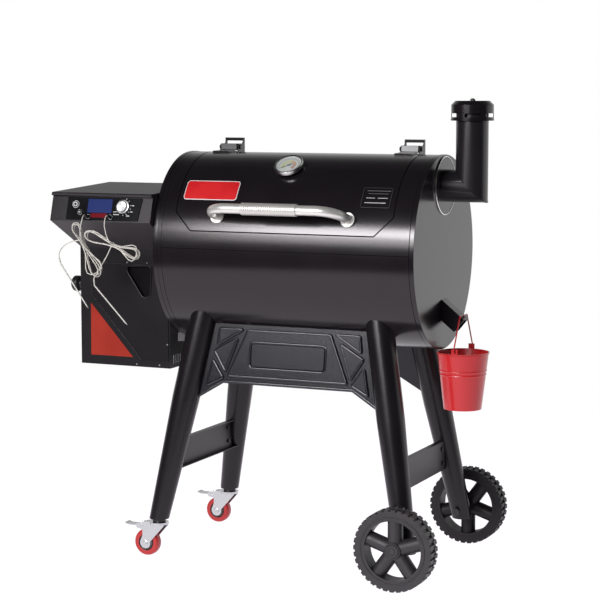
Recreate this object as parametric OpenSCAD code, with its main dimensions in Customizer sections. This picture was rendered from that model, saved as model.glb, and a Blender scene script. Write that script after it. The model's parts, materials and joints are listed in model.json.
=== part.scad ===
// Pellet smoker grill: an oval barrel on four splayed legs, with a pellet hopper at its left end and
// a flue and a grease bucket at its right end. Millimetres, +Z up, the front faces -Y, and the origin
// is on the floor under the middle of the barrel.

/* [Barrel] */
// Length of the barrel over its end plates
barrel_length = 716; // [690:2:760]
// Half the depth of the oval section
barrel_half_depth = 219; // [212:1:228]
// Half the height of the oval section
barrel_half_height = 245; // [238:1:255]
// Height of the barrel's axis above the floor
barrel_axis_z = 808; // [800:1:830]
// Thickness of the barrel's sheet
shell_wall = 2; // [1.5:0.25:3]
// Width of the rolled rim of an end plate
end_rim = 12; // [8:1:18]
// How far that rim stands proud of the sheet
rim_proud = 1; // [0.5:0.25:1.5]

/* [Lid] */
// Width of the lid along the barrel
lid_width = 594; // [560:2:620]
// Height of the lid's front edge above the barrel's axis
lid_front_rise = 52; // [40:1:70]
// Size of the lid's cut corners
lid_corner = 46; // [30:1:60]
// Where the lid ends behind the crest of the barrel
lid_rear_y = 10; // [4:1:16]
// Seam left open round the lid
lid_gap = 3; // [2:0.5:4]
// Width of the ledge that the lid closes on
lid_ledge = 12; // [8:1:16]
// Distance of a lid hinge from the middle of the barrel
hinge_x = 256; // [180:1:268]
// Height of the hinge pin above the barrel's crest
hinge_rise = 12; // [11:0.5:16]
// Distance of the hinge pin behind the lid's rear edge
hinge_back = 20; // [18:1:26]
// Diameter of the hinge pin
hinge_pin_d = 8; // [6:0.5:9]
// Length of the lid's hinge knuckle
knuckle_length = 46; // [36:1:56]
// Height of the bracket's loop above the pin
loop_height = 24; // [22:1:36]

/* [Handle] */
// Distance between the handle's posts
handle_span = 358; // [320:2:420]
// Height of the posts on the lid above the barrel's axis
handle_rise = 89; // [82:1:115]
// Diameter of the handle's tube
handle_d = 25; // [20:1:28]
// Distance of the bar from the lid
handle_standoff = 77; // [70:1:90]
// Bend radius of the tube
handle_bend = 58; // [32:1:64]
// Length of the ribbed grip
grip_length = 150; // [100:2:200]
// Diameter of the grip over its ribs
grip_d = 31; // [30:0.5:36]

/* [Gauge] */
// Height of the lid thermometer above the barrel's axis
gauge_rise = 208; // [195:1:220]
// Place of the lid thermometer along the barrel, from its middle
gauge_x = -16; // [-60:1:60]
// Diameter of its case
gauge_d = 76; // [64:1:90]
// Depth of its case
gauge_depth = 13; // [12.5:0.5:16]
// Length of the stem inside the lid
gauge_stem = 60; // [40:1:90]

/* [Flue] */
// Height of the flue's inlet above the barrel's axis
flue_rise = 168; // [150:1:172]
// Diameter of the flue pipe
flue_d = 81; // [70:1:88]
// Distance of the upright pipe from the end plate
flue_reach = 71; // [64:1:90]
// Height of the upright pipe above its inlet
flue_height = 188; // [150:1:210]
// Diameter of the flue's flange
flue_flange_d = 144; // [130:1:148]
// Diameter of the flue cap
cap_d = 106; // [98:1:120]
// Height of the cap's skirt
cap_skirt = 49; // [44:1:58]

/* [Grease drain] */
// Height of the chute's top edge on the end plate, below the barrel's axis
chute_drop = 118; // [110:1:130]
// Slope of the chute in degrees
chute_angle = 39; // [34:1:44]
// Length of the chute along its top
chute_length = 78; // [74:1:90]
// Height of the chute across its slope
chute_height = 42; // [36:1:46]
// Width of the chute
chute_width = 36; // [26:1:40]
// Radius of the bucket's rim
bucket_rim_r = 65; // [56:1:68]
// Radius of the bucket's floor
bucket_floor_r = 48; // [40:1:54]
// Height of the bucket
bucket_height = 145; // [120:1:165]
// Depth of the bucket's rim below the bail's top
bucket_drop = 92; // [91:1:106]
// Diameter of the bail's wire
bail_d = 3.5; // [3:0.25:4]

/* [Stand] */
// Where the middle of the stand lies along the barrel
stand_x = -8; // [-14:1:0]
// Distance of a foot from the middle of the stand, at the height of the left feet
foot_x = 344; // [330:1:356]
// Distance of a foot from the barrel's middle plane, at the height of the left feet
foot_y = 207; // [200:1:214]
// Height of the left feet, on their casters
left_foot_z = 101; // [99:0.5:104]
// Height of the right feet, beside their wheels
right_foot_z = 80; // [70:1:84]
// Sideways splay of the legs in degrees
splay_side = 10.5; // [9:0.5:12]
// Splay of the legs to the front and rear in degrees
splay_front = 7.8; // [7:0.2:8.6]
// Diameter of a leg at its foot
leg_foot_d = 50; // [48:1:58]
// Diameter of a leg above its taper
leg_top_d = 71; // [66:1:78]
// Length of the tapered part of a leg
leg_taper = 325; // [260:5:380]
// Wall of a leg
leg_wall = 2; // [1.5:0.25:3]
// Height of the aprons' flat lower edge
apron_z = 462; // [440:1:480]
// Depth of the aprons' corners below that edge
apron_wing = 66; // [44:1:80]
// Thickness of an apron's sheet
apron_sheet = 2; // [1.5:0.25:3]
// How far the front apron's pressed fields stand out
apron_press = 5; // [2:0.25:6]
// Lower edge of the left crossbar
crossbar_z = 230; // [215:1:260]
// How much lower the right crossbar lies
crossbar_step = 12; // [0:1:20]
// Height of the crossbars
crossbar_height = 77; // [64:1:90]

/* [Wheels] */
// Radius of the large wheels over their lugs
wheel_r = 102; // [98:1:108]
// Width of the large wheels
wheel_width = 45; // [38:1:50]
// Distance of a large wheel's middle from the barrel's middle plane
wheel_y = 272; // [268:1:280]
// Diameter of the axle bolts
axle_d = 12; // [10:0.5:14]
// Number of tread lugs on one edge of a wheel
lug_count = 36; // [20:1:40]
// Radius of the caster wheels
caster_r = 35; // [33:0.5:36]
// Width of the caster wheels
caster_width = 24; // [20:1:28]
// Distance of a caster's wheel behind its swivel
caster_trail = 34; // [30:1:38]

/* [Hopper] */
// Gap between the hopper and the barrel's end plate, which its mounting frame fills
hopper_gap = 2; // [2:0.5:6]
// Width of the hopper's upper part
hopper_width = 298; // [286:2:312]
// How far the lower box is set in on the left
hopper_inset = 28; // [20:1:36]
// Height of the hopper's floor
hopper_floor_z = 484; // [476:1:490]
// Height where the lower box meets the sloping fascia
hopper_waist_z = 800; // [790:1:808]
// Height of the control panel's lower edge
panel_z = 875; // [865:1:880]
// Height of the control panel's upper edge
panel_top_z = 940; // [936:1:950]
// Front of the lower box, measured forward from the barrel's middle plane
hopper_front = 125; // [118:1:132]
// Lower edge of the control panel, measured forward from the barrel's middle plane
panel_front = 230; // [224:1:234]
// How far the control panel leans back over its height
panel_lean = 18; // [14:1:22]
// Back of the hopper, behind the barrel's middle plane
hopper_back = 85; // [78:1:110]
// Rise of the hopper's top from front to back
hopper_top_rise = 13; // [6:1:20]
// Thickness of the hopper's sheet
hopper_wall = 2; // [1.5:0.25:3]
// Thickness of the hopper's lid
hopper_lid_t = 9; // [8:0.5:14]
// Diameter of the control knob
knob_d = 36; // [30:1:38]
// Diameter of the two buttons
button_d = 12; // [10:0.5:13]

/* [Works] */
// Height of the auger's axis below the barrel's axis
auger_drop = 193; // [188:1:198]
// Radius of the auger's tube
auger_r = 28; // [25:0.5:29]
// Radius of the firepot
firepot_r = 58; // [50:1:64]
// Height of the cooking grate below the barrel's axis
grate_drop = 22; // [12:1:32]
// Radius of the fan wheel
fan_r = 38; // [32:1:40]

/* [Clearances] */
// Gap left under a seated piece
seat = 0.2; // [0.1:0.05:0.3]
// Radial clearance of a turning fit
run_fit = 0.06; // [0.03:0.01:0.09]

/* [Hidden] */
$fn = 64;
far = 2000;

// The oval is drawn with four tangent arcs, and crest_share sets how full its crest is
crest_share = 0.46;
half_length = barrel_length / 2;
crest_r = barrel_half_depth - crest_share * (barrel_half_height - barrel_half_depth);
crest_c = barrel_half_height - crest_r;
side_r = (pow(crest_c, 2) + pow(barrel_half_depth, 2) - pow(crest_r,
    2)) / (2 * (barrel_half_depth - crest_r));
side_c = side_r - barrel_half_depth;
joint_rise = side_r * crest_c / (side_r - crest_r);
barrel_top_z = barrel_axis_z + barrel_half_height;
sheet_half = half_length - end_rim;
lid_bottom_z = barrel_axis_z + lid_front_rise;

hinge_y = lid_rear_y + hinge_back;
hinge_z = barrel_top_z + hinge_rise;
knuckle_r = hinge_rise - 3;
ear_t = 3;
ear_gap = 1;

flue_z = barrel_axis_z + flue_rise;
flue_x = half_length + flue_reach;
flue_top_z = flue_z + flue_height;
flue_wall = 1.5;
flue_stud_r = 4;
cap_overlap = 25;
cap_top_z = flue_top_z - cap_overlap + cap_skirt;

chute_z = barrel_axis_z - chute_drop;
chute_wall = 2;
bail_r = bail_d / 2;
bail_along = chute_length - 12;
bail_x = half_length + bail_along * cos(chute_angle) + (bail_r + seat) * sin(chute_angle);
bail_z = chute_z - bail_along * sin(chute_angle) + (bail_r + seat) * cos(chute_angle);
bucket_rim_z = bail_z - bucket_drop;
bucket_wall = 1.2;
ear_rise = 7;
ear_z = bucket_rim_z + ear_rise;
ear_thick = 2;
bend_ball = 1.06;
bail_leg_y = bucket_rim_r + 9;
bail_top_y = chute_width / 2 + 9;

crossbar_t = 2;
crossbar_flange = 15;
axle_z = wheel_r;
axle_x = leg_x(1, axle_z);
caster_head_z = left_foot_z - 9;
caster_swivel_r = 7;
fork_t = 2.5;
fork_top_z = caster_head_z - 0.3;
fork_head_t = 6;
fork_inner = caster_width / 2 + 1.5;
caster_axle_r = 4;
brake_pivot_x = -46;
brake_pivot_z = fork_top_z - 13;
brake_pin_r = 3;
brake_half_w = fork_inner - 1.2;

hopper_right = -half_length - hopper_gap;
hopper_left = hopper_right - hopper_width;
box_left = hopper_left + hopper_inset;
panel_angle = atan(panel_lean / (panel_top_z - panel_z));
panel_height = (panel_top_z - panel_z) / cos(panel_angle);
hopper_top_back_z = panel_top_z + hopper_top_rise;
hopper_pin_r = 3;
hopper_pin_y = hopper_back + 8;
hopper_pin_z = hopper_top_back_z + 2;

auger_z = barrel_axis_z - auger_drop;
auger_wall = 2;
auger_shaft_r = 6;
auger_left = hopper_left + 96;
firepot_x = -30;
grate_z = barrel_axis_z - grate_drop;
grate_t = 6;
fan_x = hopper_right - 84;
fan_z = hopper_floor_z + 54;
fan_width = 32;
fan_pin_r = 4;

// Places on the control panel, from the hopper's right side and up from the panel's lower edge
knob_at = [-0.274 * hopper_width, 40];
power_at = [-0.75 * hopper_width, 44];
menu_at = [-0.702 * hopper_width, 23];
jack_at = [[-0.614 * hopper_width, 12], [-0.389 * hopper_width, 12]];
display_at = [-0.507 * hopper_width, 41];
display_size = [72, 36];
display_t = 3;
insert_t = 3;

// Meat probes: cord and rod sizes, and the routes, measured from the cord's end in each plug
cord_d = 3;
rod_d = 4;
plug_r = 4;
plug_length = 16;
// Each hank lies in a plane that faces the front, its loops stacked from the front to the back
hank_pitch = 4.2;
hank_waist = 2.2;
hank_half_turns = 7;
hank_front_y = -9;
loop_rings = 24;
// Middle and slope of each hank, then length and fullness of its lobes in turn
hank_left = [[-1, -78], -63, [86, 60, 80, 64, 90, 58, 84], [27, 25, 62, 28, 34, 26, 44]];
hank_right = [[27, -78], -18, [68, 94, 64, 98, 71, 92, 66], [28, 28, 52, 30, 33, 35, 27]];
left_lead = [[0, -4, 0], [0, -10, -6], [-1, -13, -15], [-3, -14, -25], [-5, -14, -36], [-6, -14, -47],
    [-6, -13, -57], [-4, -11, -66]];
left_tail = [[-7, 6, -69], [-14, 6, -66], [-23, 6, -66.5], [-34, 6, -68.5], [-46, 6, -72], [-58, 6, -77],
    [-69, 6, -84], [-77, 6, -93], [-82, 6, -104], [-82, 6, -115]];
left_rod = [[-82, 6, -115], [-77, 6, -131], [4, 6, -243]];
right_lead = [[0, -4, 0], [0, -10, -6], [0, -13, -15], [0, -14, -25], [2, -14, -36], [5, -14, -47],
    [9, -13, -58], [14, -11, -69]];
right_tail = [[15, 6, -76], [8, 7, -80], [3, 8, -87], [-2, 9, -96], [-8, 10, -106], [-15, 11, -116],
    [-22, 12, -126], [-30, 13, -137], [-38, 13, -147], [-45, 13, -157], [-49, 13, -167]];
right_rod = [[-49, 13, -167], [-47, 13, -184], [49, 13, -282]];

paint = "#232324";
dark = "#1b1b1c";
steel = "#b9babc";
zinc = "#c9ccce";
red = "#c8232c";

// Outline of the oval's front at a height above the barrel's axis, and its outward slope there
function front_y(rise) = rise <= joint_rise
    ? side_c - sqrt(pow(side_r, 2) - pow(rise, 2))
    : -sqrt(pow(crest_r, 2) - pow(rise - crest_c, 2));
function front_tilt(rise) = rise <= joint_rise
    ? asin(rise / side_r)
    : atan2(rise - crest_c, -front_y(rise));

// Middle line of a leg at a height: side is -1 left or 1 right, end is -1 front or 1 rear
function leg_x(side, z) = stand_x + side * (foot_x - tan(splay_side) * (z - left_foot_z));
function leg_y(end, z) = end * (foot_y - tan(splay_front) * (z - left_foot_z));
function leg_foot_z(side) = side < 0 ? left_foot_z : right_foot_z;

// Extrude an outline in Y and Z along X, or an outline in X and Z along Y
module along_x(start, length) translate([start, 0, 0]) rotate([90, 0, 90]) linear_extrude(length) children();
module along_y(start, length) translate([0, start + length, 0]) rotate([90, 0, 0])
    linear_extrude(length) children();
module rod_x(start, length, r) translate([start, 0, 0]) rotate([0, 90, 0]) cylinder(h = length, r = r);
module rod_y(start, length, r) translate([0, start, 0]) rotate([-90, 0, 0]) cylinder(h = length, r = r);
module ring(r_out, r_in, h) difference() {
    cylinder(h = h, r = r_out);
    translate([0, 0, -1]) cylinder(h = h + 2, r = r_in);
}
// Round bar between two points
module bar(from, to, r) {
    d = to - from;
    translate(from)
        rotate([0, acos(d[2] / norm(d)), atan2(d[1], d[0])])
            cylinder(h = norm(d), r = r);
}

module oval(grow = 0) {
    reach = 40;
    for (s = [-1, 1]) {
        intersection() {
            translate([-s * side_c, 0]) circle(side_r + grow, $fn = 256);
            polygon([[-s * side_c, 0], [s * side_c * (reach - 1), crest_c * reach],
                [s * side_c * (reach - 1), -crest_c * reach]]);
        }
        intersection() {
            translate([0, s * crest_c]) circle(crest_r + grow, $fn = 256);
            polygon([[0, s * crest_c], [side_c * reach, s * crest_c * (reach + 1)],
                [-side_c * reach, s * crest_c * (reach + 1)]]);
        }
    }
}
module barrel_prism(grow, start, length) translate([0, 0, barrel_axis_z]) along_x(start, length) oval(grow);
module barrel_tube(outer, inner, half) difference() {
    barrel_prism(outer, -half, 2 * half);
    barrel_prism(inner, -half - 1, 2 * half + 2);
}
// Space in front of and above the lid's outline, grown by a margin
module lid_zone(grow) {
    half = lid_width / 2 + grow;
    low = lid_bottom_z - grow;
    cut = lid_corner + (2 - sqrt(2)) * grow;
    top = barrel_top_z + 60;
    along_y(lid_rear_y + grow - far, far)
        polygon([[-half, top], [-half, low + cut], [-half + cut, low], [half - cut, low], [half, low + cut],
            [half, top]]);
}
// Local frame on the lid's front, its Z pointing out of the sheet
module on_front(rise) translate([0, front_y(rise), barrel_axis_z + rise])
    rotate([90 - front_tilt(rise), 0, 0]) children();

module barrel_shell() color(paint) {
    ledge_t = 2;
    ledge_gap = 0.4;
    difference() {
        barrel_tube(0, -shell_wall, sheet_half);
        lid_zone(lid_gap);
    }
    difference() {
        intersection() {
            barrel_tube(-shell_wall / 2, -shell_wall - ledge_gap - ledge_t, sheet_half);
            lid_zone(lid_ledge);
        }
        lid_zone(-lid_ledge);
        difference() {
            lid_zone(lid_gap);
            barrel_prism(-shell_wall - ledge_gap, -half_length, barrel_length);
        }
    }
}

module end_plate(side) {
    shelf = 14;
    shelf_t = 4;
    shelf_half = barrel_half_depth * 0.6;
    inner = half_length - shell_wall;
    mirror([side < 0 ? 1 : 0, 0, 0]) {
        difference() {
            barrel_prism(rim_proud, sheet_half, end_rim);
            barrel_prism(-shell_wall, sheet_half - 1, end_rim + 1 - shell_wall);
            children();
        }
        translate([inner - shelf, -shelf_half, grate_z - seat - shelf_t])
            cube([shelf + 1, 2 * shelf_half, shelf_t]);
    }
}
// The left plate carries the hopper's mounting frame
module left_end_plate() color(paint) {
    frame_half = 84;
    frame_low = auger_z - 40;
    frame_high = barrel_axis_z + 90;
    bar_w = 24;
    end_plate(-1) translate([half_length - 40, 0, auger_z]) rod_x(0, 60, auger_r + auger_wall + seat);
    difference() {
        translate([hopper_right, -frame_half, frame_low])
            cube([hopper_gap, 2 * frame_half, frame_high - frame_low]);
        translate([hopper_right - 1, bar_w - frame_half, frame_low + bar_w])
            cube([hopper_gap + 2, 2 * (frame_half - bar_w), frame_high - frame_low - 2 * bar_w]);
        translate([0, 0, auger_z]) rod_x(hopper_right - 1, hopper_gap + 2, auger_r + auger_wall + seat);
    }
}
module right_end_plate() color(paint) end_plate(1) {
    translate([0, 0, flue_z]) rod_x(half_length - 40, 60, flue_d / 2 - flue_wall);
    chute_hollow();
}

module at_gauge() translate([gauge_x, 0, 0]) on_front(gauge_rise) children();
module lid() color(paint) difference() {
    intersection() {
        barrel_tube(0, -shell_wall, half_length);
        lid_zone(0);
    }
    at_gauge() translate([0, 0, -20]) cylinder(h = 40, r = 4 + seat);
}

module handle_path(r) {
    straight = handle_span / 2 - handle_bend;
    translate([0, 0, handle_standoff]) rod_x(-straight, 2 * straight, r);
    for (s = [0, 1]) mirror([s, 0, 0]) {
        translate([straight, 0, handle_standoff - handle_bend])
            rotate([90, 0, 0]) rotate_extrude(angle = 90) translate([handle_bend, 0]) circle(r);
        translate([handle_span / 2, 0, -8]) cylinder(h = handle_standoff - handle_bend + 8, r = r);
    }
}
module lid_handle() color(steel) {
    tube_wall = 1.5;
    foot_r = handle_d / 2 + 6;
    foot_t = 3;
    difference() {
        on_front(handle_rise) difference() {
            union() {
                handle_path(handle_d / 2);
                for (s = [-1, 1]) translate([s * handle_span / 2, 0, -4])
                    cylinder(h = foot_t + 4, r = foot_r);
            }
            handle_path(handle_d / 2 - tube_wall);
        }
        barrel_prism(seat, -half_length, barrel_length);
    }
}
module handle_grip() color(steel) {
    rib_step = 6;
    rib_depth = 1.2;
    bore = handle_d / 2 + run_fit;
    ribs = floor(grip_length / rib_step);
    half = ribs * rib_step / 2;
    profile = [for (i = [0 : ribs - 1]) let (z = i * rib_step - half)
        each [[grip_d / 2 - rib_depth, z], [grip_d / 2, z + 1], [grip_d / 2, z + rib_step - 1]]];
    on_front(handle_rise) translate([0, 0, handle_standoff]) rotate([0, 90, 0]) rotate_extrude()
        polygon(concat([[bore, -half]], profile, [[grip_d / 2 - rib_depth, half], [bore, half]]));
}

// A lid hinge: the leaf and knuckle turn with the lid, the ears, loop and pin stay on the barrel
module at_hinges() for (s = [-1, 1]) translate([s * hinge_x, hinge_y, 0]) children();
module lid_hinge_leaves() color(dark) difference() {
    at_hinges() {
        half = knuckle_length / 2;
        edge = hinge_back + 1;
        leaf = 40;
        face = knuckle_r + 2;
        top = barrel_top_z;
        difference() {
            union() {
                translate([0, 0, hinge_z]) rod_x(-half, knuckle_length, knuckle_r);
                along_x(-half, knuckle_length)
                    polygon([[-edge - leaf, top - 12], [-edge - leaf, top + 3], [-face, top + 5],
                        [-face, hinge_z + knuckle_r], [2, hinge_z + knuckle_r], [2, hinge_z - 8],
                        [-edge, top + 3], [-edge, top - 12]]);
            }
            translate([0, 0, hinge_z]) rod_x(-half - 1, knuckle_length + 2, hinge_pin_d / 2 + run_fit);
        }
    }
    barrel_prism(seat, -half_length, barrel_length);
}
module hinge_brackets() color(dark) difference() {
    at_hinges() {
        inner = knuckle_length / 2 + ear_gap;
        back = 30;
        strap = 8;
        foot_front = hinge_back - lid_gap - 4;
        translate([-inner - ear_t, -foot_front, barrel_top_z - 20])
            cube([2 * (inner + ear_t), foot_front + back, 20 + hinge_rise - knuckle_r - 2]);
        for (s = [-1, 1]) translate([s * (inner + ear_t / 2), 0, hinge_z])
            along_x(-ear_t / 2, ear_t)
                polygon([[-knuckle_r, -hinge_rise], [-knuckle_r, 4], [-4, knuckle_r],
                    [back - strap - 4, knuckle_r], [back - strap, knuckle_r + 4],
                    [back - strap, loop_height], [back, loop_height], [back, -hinge_rise]]);
        translate([-inner - ear_t, back - strap, hinge_z + loop_height - strap])
            cube([2 * (inner + ear_t), strap, strap]);
        translate([0, 0, hinge_z]) rod_x(-inner - ear_t - 4, 2 * (inner + ear_t + 4), hinge_pin_d / 2);
    }
    barrel_prism(seat, -half_length, barrel_length);
}

// Lid thermometer
gauge_lift = 4;
gauge_wall = 4;
gauge_floor = 6.5;
needle_lift = 1.6;
gauge_post_r = 1.2;
module gauge_case() color(steel) {
    r = gauge_d / 2;
    difference() {
        at_gauge() translate([0, 0, -4]) cylinder(h = gauge_lift + 5, r = 14);
        barrel_prism(seat, -half_length, barrel_length);
    }
    at_gauge() {
        translate([0, 0, -gauge_stem]) cylinder(h = gauge_stem + gauge_lift, r = 4);
        translate([0, 0, gauge_lift]) rotate_extrude()
            polygon([[0, 0], [r - 3, 0], [r, 3], [r, gauge_depth - 2], [r - 1, gauge_depth],
                [r - gauge_wall + 2, gauge_depth], [r - gauge_wall + 2, gauge_depth - 3],
                [r - gauge_wall, gauge_depth - 3], [r - gauge_wall, gauge_floor], [0, gauge_floor]]);
    }
}
module gauge_dial() color("#dfe3e6") at_gauge() translate([0, 0, gauge_lift + gauge_floor]) {
    cylinder(h = 1, r = gauge_d / 2 - gauge_wall - seat);
    cylinder(h = needle_lift + 1.7, r = gauge_post_r);
}
module gauge_needle() color("#303030") at_gauge() translate([0, 0, gauge_lift + gauge_floor + needle_lift])
    rotate([0, 0, 215]) difference() {
        union() {
            cylinder(h = 1.5, r = 4);
            linear_extrude(1.2) polygon([[-9, -1.6], [gauge_d / 2 - 14, -0.5], [gauge_d / 2 - 14, 0.5],
                [-9, 1.6]]);
        }
        translate([0, 0, -1]) cylinder(h = 4, r = gauge_post_r + run_fit);
    }
module gauge_lens() color("#c8d8e0") at_gauge()
    translate([0, 0, gauge_lift + gauge_depth - 3]) cylinder(h = 2, r = gauge_d / 2 - gauge_wall + 2 - seat);

// Mitred elbow of the flue, and the half-space that holds its upright part
module mitre_space() translate([flue_x, 0, flue_z]) rotate([0, -45, 0]) translate([0, -200, -200]) cube(400);
module elbow(r, start, top) {
    difference() {
        translate([0, 0, flue_z]) rod_x(start, flue_x - start + r + 10, r);
        mitre_space();
    }
    intersection() {
        translate([flue_x, 0, flue_z - r - 10]) cylinder(h = top - flue_z + r + 10, r = r);
        mitre_space();
    }
}
module flue_pipe() color(paint) {
    r = flue_d / 2;
    flange_t = 3;
    strap_w = 12;
    strap_z = flue_top_z - 16;
    difference() {
        union() {
            elbow(r, half_length, flue_top_z);
            translate([0, 0, flue_z]) rod_x(half_length, flange_t, flue_flange_d / 2);
        }
        elbow(r - flue_wall, half_length - 5, flue_top_z + 5);
    }
    translate([flue_x - strap_w / 2, -r + flue_wall / 2, strap_z]) cube([strap_w, 2 * r - flue_wall, 3]);
    translate([flue_x, 0, strap_z]) cylinder(h = cap_top_z + 6 - strap_z, r = flue_stud_r);
}
module flue_cap() color(paint) {
    r = cap_d / 2;
    wall = 1.5;
    bevel = 10;
    nut_h = 4;
    slots = 6;
    slot_length = 30;
    slot_r = 5;
    slot_turn = 49;
    slot_z = cap_top_z - cap_skirt + 13;
    difference() {
        union() {
            translate([flue_x, 0, cap_top_z - cap_skirt]) rotate_extrude()
                polygon([[0, cap_skirt], [r - bevel, cap_skirt], [r, cap_skirt - bevel], [r, 5], [r + 1, 4],
                    [r + 1, 0], [r - wall, 0], [r - wall, cap_skirt - bevel - 0.6],
                    [r - bevel - 0.6, cap_skirt - wall], [0, cap_skirt - wall]]);
            translate([flue_x, 0, cap_top_z - wall]) cylinder(h = nut_h + wall, r = 7, $fn = 6);
        }
        translate([flue_x, 0, cap_top_z - 10]) cylinder(h = 30, r = flue_stud_r + run_fit);
        for (i = [0 : slots - 1]) translate([flue_x, 0, slot_z]) rotate([0, 0, i * 360 / slots + slot_turn]) {
            translate([r - 8, -slot_length / 2, -slot_r]) cube([16, slot_length, 2 * slot_r]);
            for (e = [-1, 1]) translate([0, e * slot_length / 2, 0]) rod_x(r - 14, 22, slot_r);
        }
    }
}

// Grease chute on the right end plate, with the lug that keeps the bail on it
module chute_frame() translate([half_length, 0, chute_z]) rotate([0, chute_angle, 0]) children();
module chute_hollow() chute_frame()
    translate([-90, chute_wall - chute_width / 2, chute_wall - chute_height])
        cube([90 + chute_length + 20, chute_width - 2 * chute_wall, chute_height - 2 * chute_wall]);
module grease_chute() color(paint) {
    lug_t = 3;
    difference() {
        chute_frame() {
            translate([-80, -chute_width / 2, -chute_height])
                cube([80 + chute_length, chute_width, chute_height]);
            translate([bail_along + bail_r + 1, -chute_width / 4, -1])
                cube([lug_t, chute_width / 2, bail_d + 3]);
        }
        chute_hollow();
        translate([half_length - far, -far / 2, 0]) cube(far);
    }
}
module grease_bucket() color(red) {
    bead_z = bucket_height * 0.66;
    slope = (bucket_rim_r - bucket_floor_r) / bucket_height;
    bead = function (z) bucket_floor_r + slope * z;
    ear_w = 16;
    rim = 3;
    translate([bail_x, 0, bucket_rim_z - bucket_height]) rotate_extrude()
        polygon([[0, 0], [bucket_floor_r, 0], [bead(bead_z - 10), bead_z - 10], [bead(bead_z - 7) + 1.2,
            bead_z - 7],
            [bead(bead_z - 4), bead_z - 4], [bead(bead_z), bead_z], [bead(bead_z + 3) + 1.2, bead_z + 3],
            [bead(bead_z + 6), bead_z + 6], [bucket_rim_r - slope * rim, bucket_height - rim],
            [bucket_rim_r + 1.5, bucket_height - rim], [bucket_rim_r + 1.5, bucket_height],
            [bucket_rim_r - bucket_wall, bucket_height], [bucket_floor_r - bucket_wall, bucket_wall],
            [0, bucket_wall]]);
    for (s = [-1, 1]) difference() {
        translate([bail_x - ear_w / 2, s * bucket_rim_r - ear_thick / 2, bucket_rim_z - rim])
            cube([ear_w, ear_thick, ear_rise + rim + 6]);
        translate([bail_x, s * bucket_rim_r, ear_z]) rod_y(-5, 10, bail_r + run_fit);
    }
}
module bucket_bail() color(steel) {
    for (s = [-1, 1]) {
        translate([bail_x, s > 0 ? bucket_rim_r - 4 : -bail_leg_y, ear_z])
            rod_y(0, bail_leg_y - bucket_rim_r + 4, bail_r);
        translate([bail_x, s * bail_leg_y, ear_z]) sphere(bail_r * bend_ball, $fn = 32);
        bar([bail_x, s * bail_leg_y, ear_z], [bail_x, s * bail_top_y, bail_z], bail_r);
        translate([bail_x, s * bail_top_y, bail_z]) sphere(bail_r * bend_ball, $fn = 32);
    }
    translate([bail_x, 0, bail_z]) rod_y(-bail_top_y, 2 * bail_top_y, bail_r);
}

// Legs
module at_leg(side, end) {
    z = leg_foot_z(side);
    across = atan(-side * tan(splay_side));
    along = -atan(-end * tan(splay_front) * cos(across));
    translate([leg_x(side, z), leg_y(end, z), z]) rotate([along, across, 0]) children();
}
module leg_body(side, end, grow) {
    below = 16;
    leg_length = barrel_axis_z - barrel_half_height / 2 - leg_foot_z(side);
    at_leg(side, end) {
        translate([0, 0, -below]) cylinder(h = below + leg_taper, r1 = leg_foot_d / 2 + grow, r2 =
            leg_top_d / 2 + grow);
        translate([0, 0, leg_taper]) cylinder(h = leg_length - leg_taper, r = leg_top_d / 2 + grow);
    }
}
module below(z) translate([-far / 2, -far / 2, z - far]) cube(far);
module leg(side, end) color(paint) difference() {
    foot_t = 4;
    z = leg_foot_z(side);
    leg_body(side, end, 0);
    difference() {
        leg_body(side, end, -leg_wall);
        below(z + foot_t);
    }
    below(z);
    barrel_prism(seat, -half_length, barrel_length);
    if (side > 0) translate([axle_x, leg_y(end, axle_z), axle_z]) rod_y(-60, 120, axle_d / 2 + run_fit);
    else translate([leg_x(side, z), leg_y(end, z), z - 10]) cylinder(h = 30, r = caster_swivel_r + run_fit);
}
module leg_front_left() leg(-1, -1);
module leg_front_right() leg(1, -1);
module leg_rear_left() leg(-1, 1);
module leg_rear_right() leg(1, 1);

// Aprons lie in the plane of two legs; the front one is pressed with raised fields and a sunk bare plate
module at_apron(end) translate([stand_x, leg_y(end, apron_z), apron_z])
    rotate([end * splay_front, 0, 0]) children();
module apron(end) {
    lift = (barrel_axis_z - 0.72 * barrel_half_height - apron_z) / cos(splay_front);
    low = -apron_wing;
    flat = 180;
    half = function (v) foot_x - tan(splay_side) * (apron_z + v * cos(splay_front) - left_foot_z);
    difference() {
        at_apron(end) {
            along_y(end < 0 ? 0 : -apron_sheet, apron_sheet)
                polygon([[-half(lift), lift], [half(lift), lift], [half(low), low], [flat, 0], [-flat, 0],
                    [-half(low), low]]);
            children();
        }
        for (side = [-1, 1]) leg_body(side, end, seat);
        barrel_prism(seat, -half_length, barrel_length);
    }
}
module front_apron() color(paint) {
    fields = [[[131, 141], [195, 140], [200, 99]], [[145, 117], [207, 82], [175, 32]],
        [[211, 58], [181, 15], [224, -7]]];
    apron(-1) along_y(-apron_press, apron_press + apron_sheet / 2) {
        for (s = [-1, 1]) for (field = fields) polygon([for (p = field) [s * p[0], p[1]]]);
        difference() {
            polygon([[-115, 139], [115, 139], [165, 20], [-165, 20]]);
            rounded(107, 42, 111, 10);
        }
        rounded(101, 48, 105, 6);
    }
}
// Rectangle with round corners, from -half to half across and low to high
module rounded(half, low, high, r) {
    translate([-half, low + r]) square([2 * half, high - low - 2 * r]);
    translate([r - half, low]) square([2 * (half - r), high - low]);
    for (x = [r - half, half - r]) for (y = [low + r, high - r]) translate([x, y]) circle(r);
}
module rear_apron() color(paint) apron(1);

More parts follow.
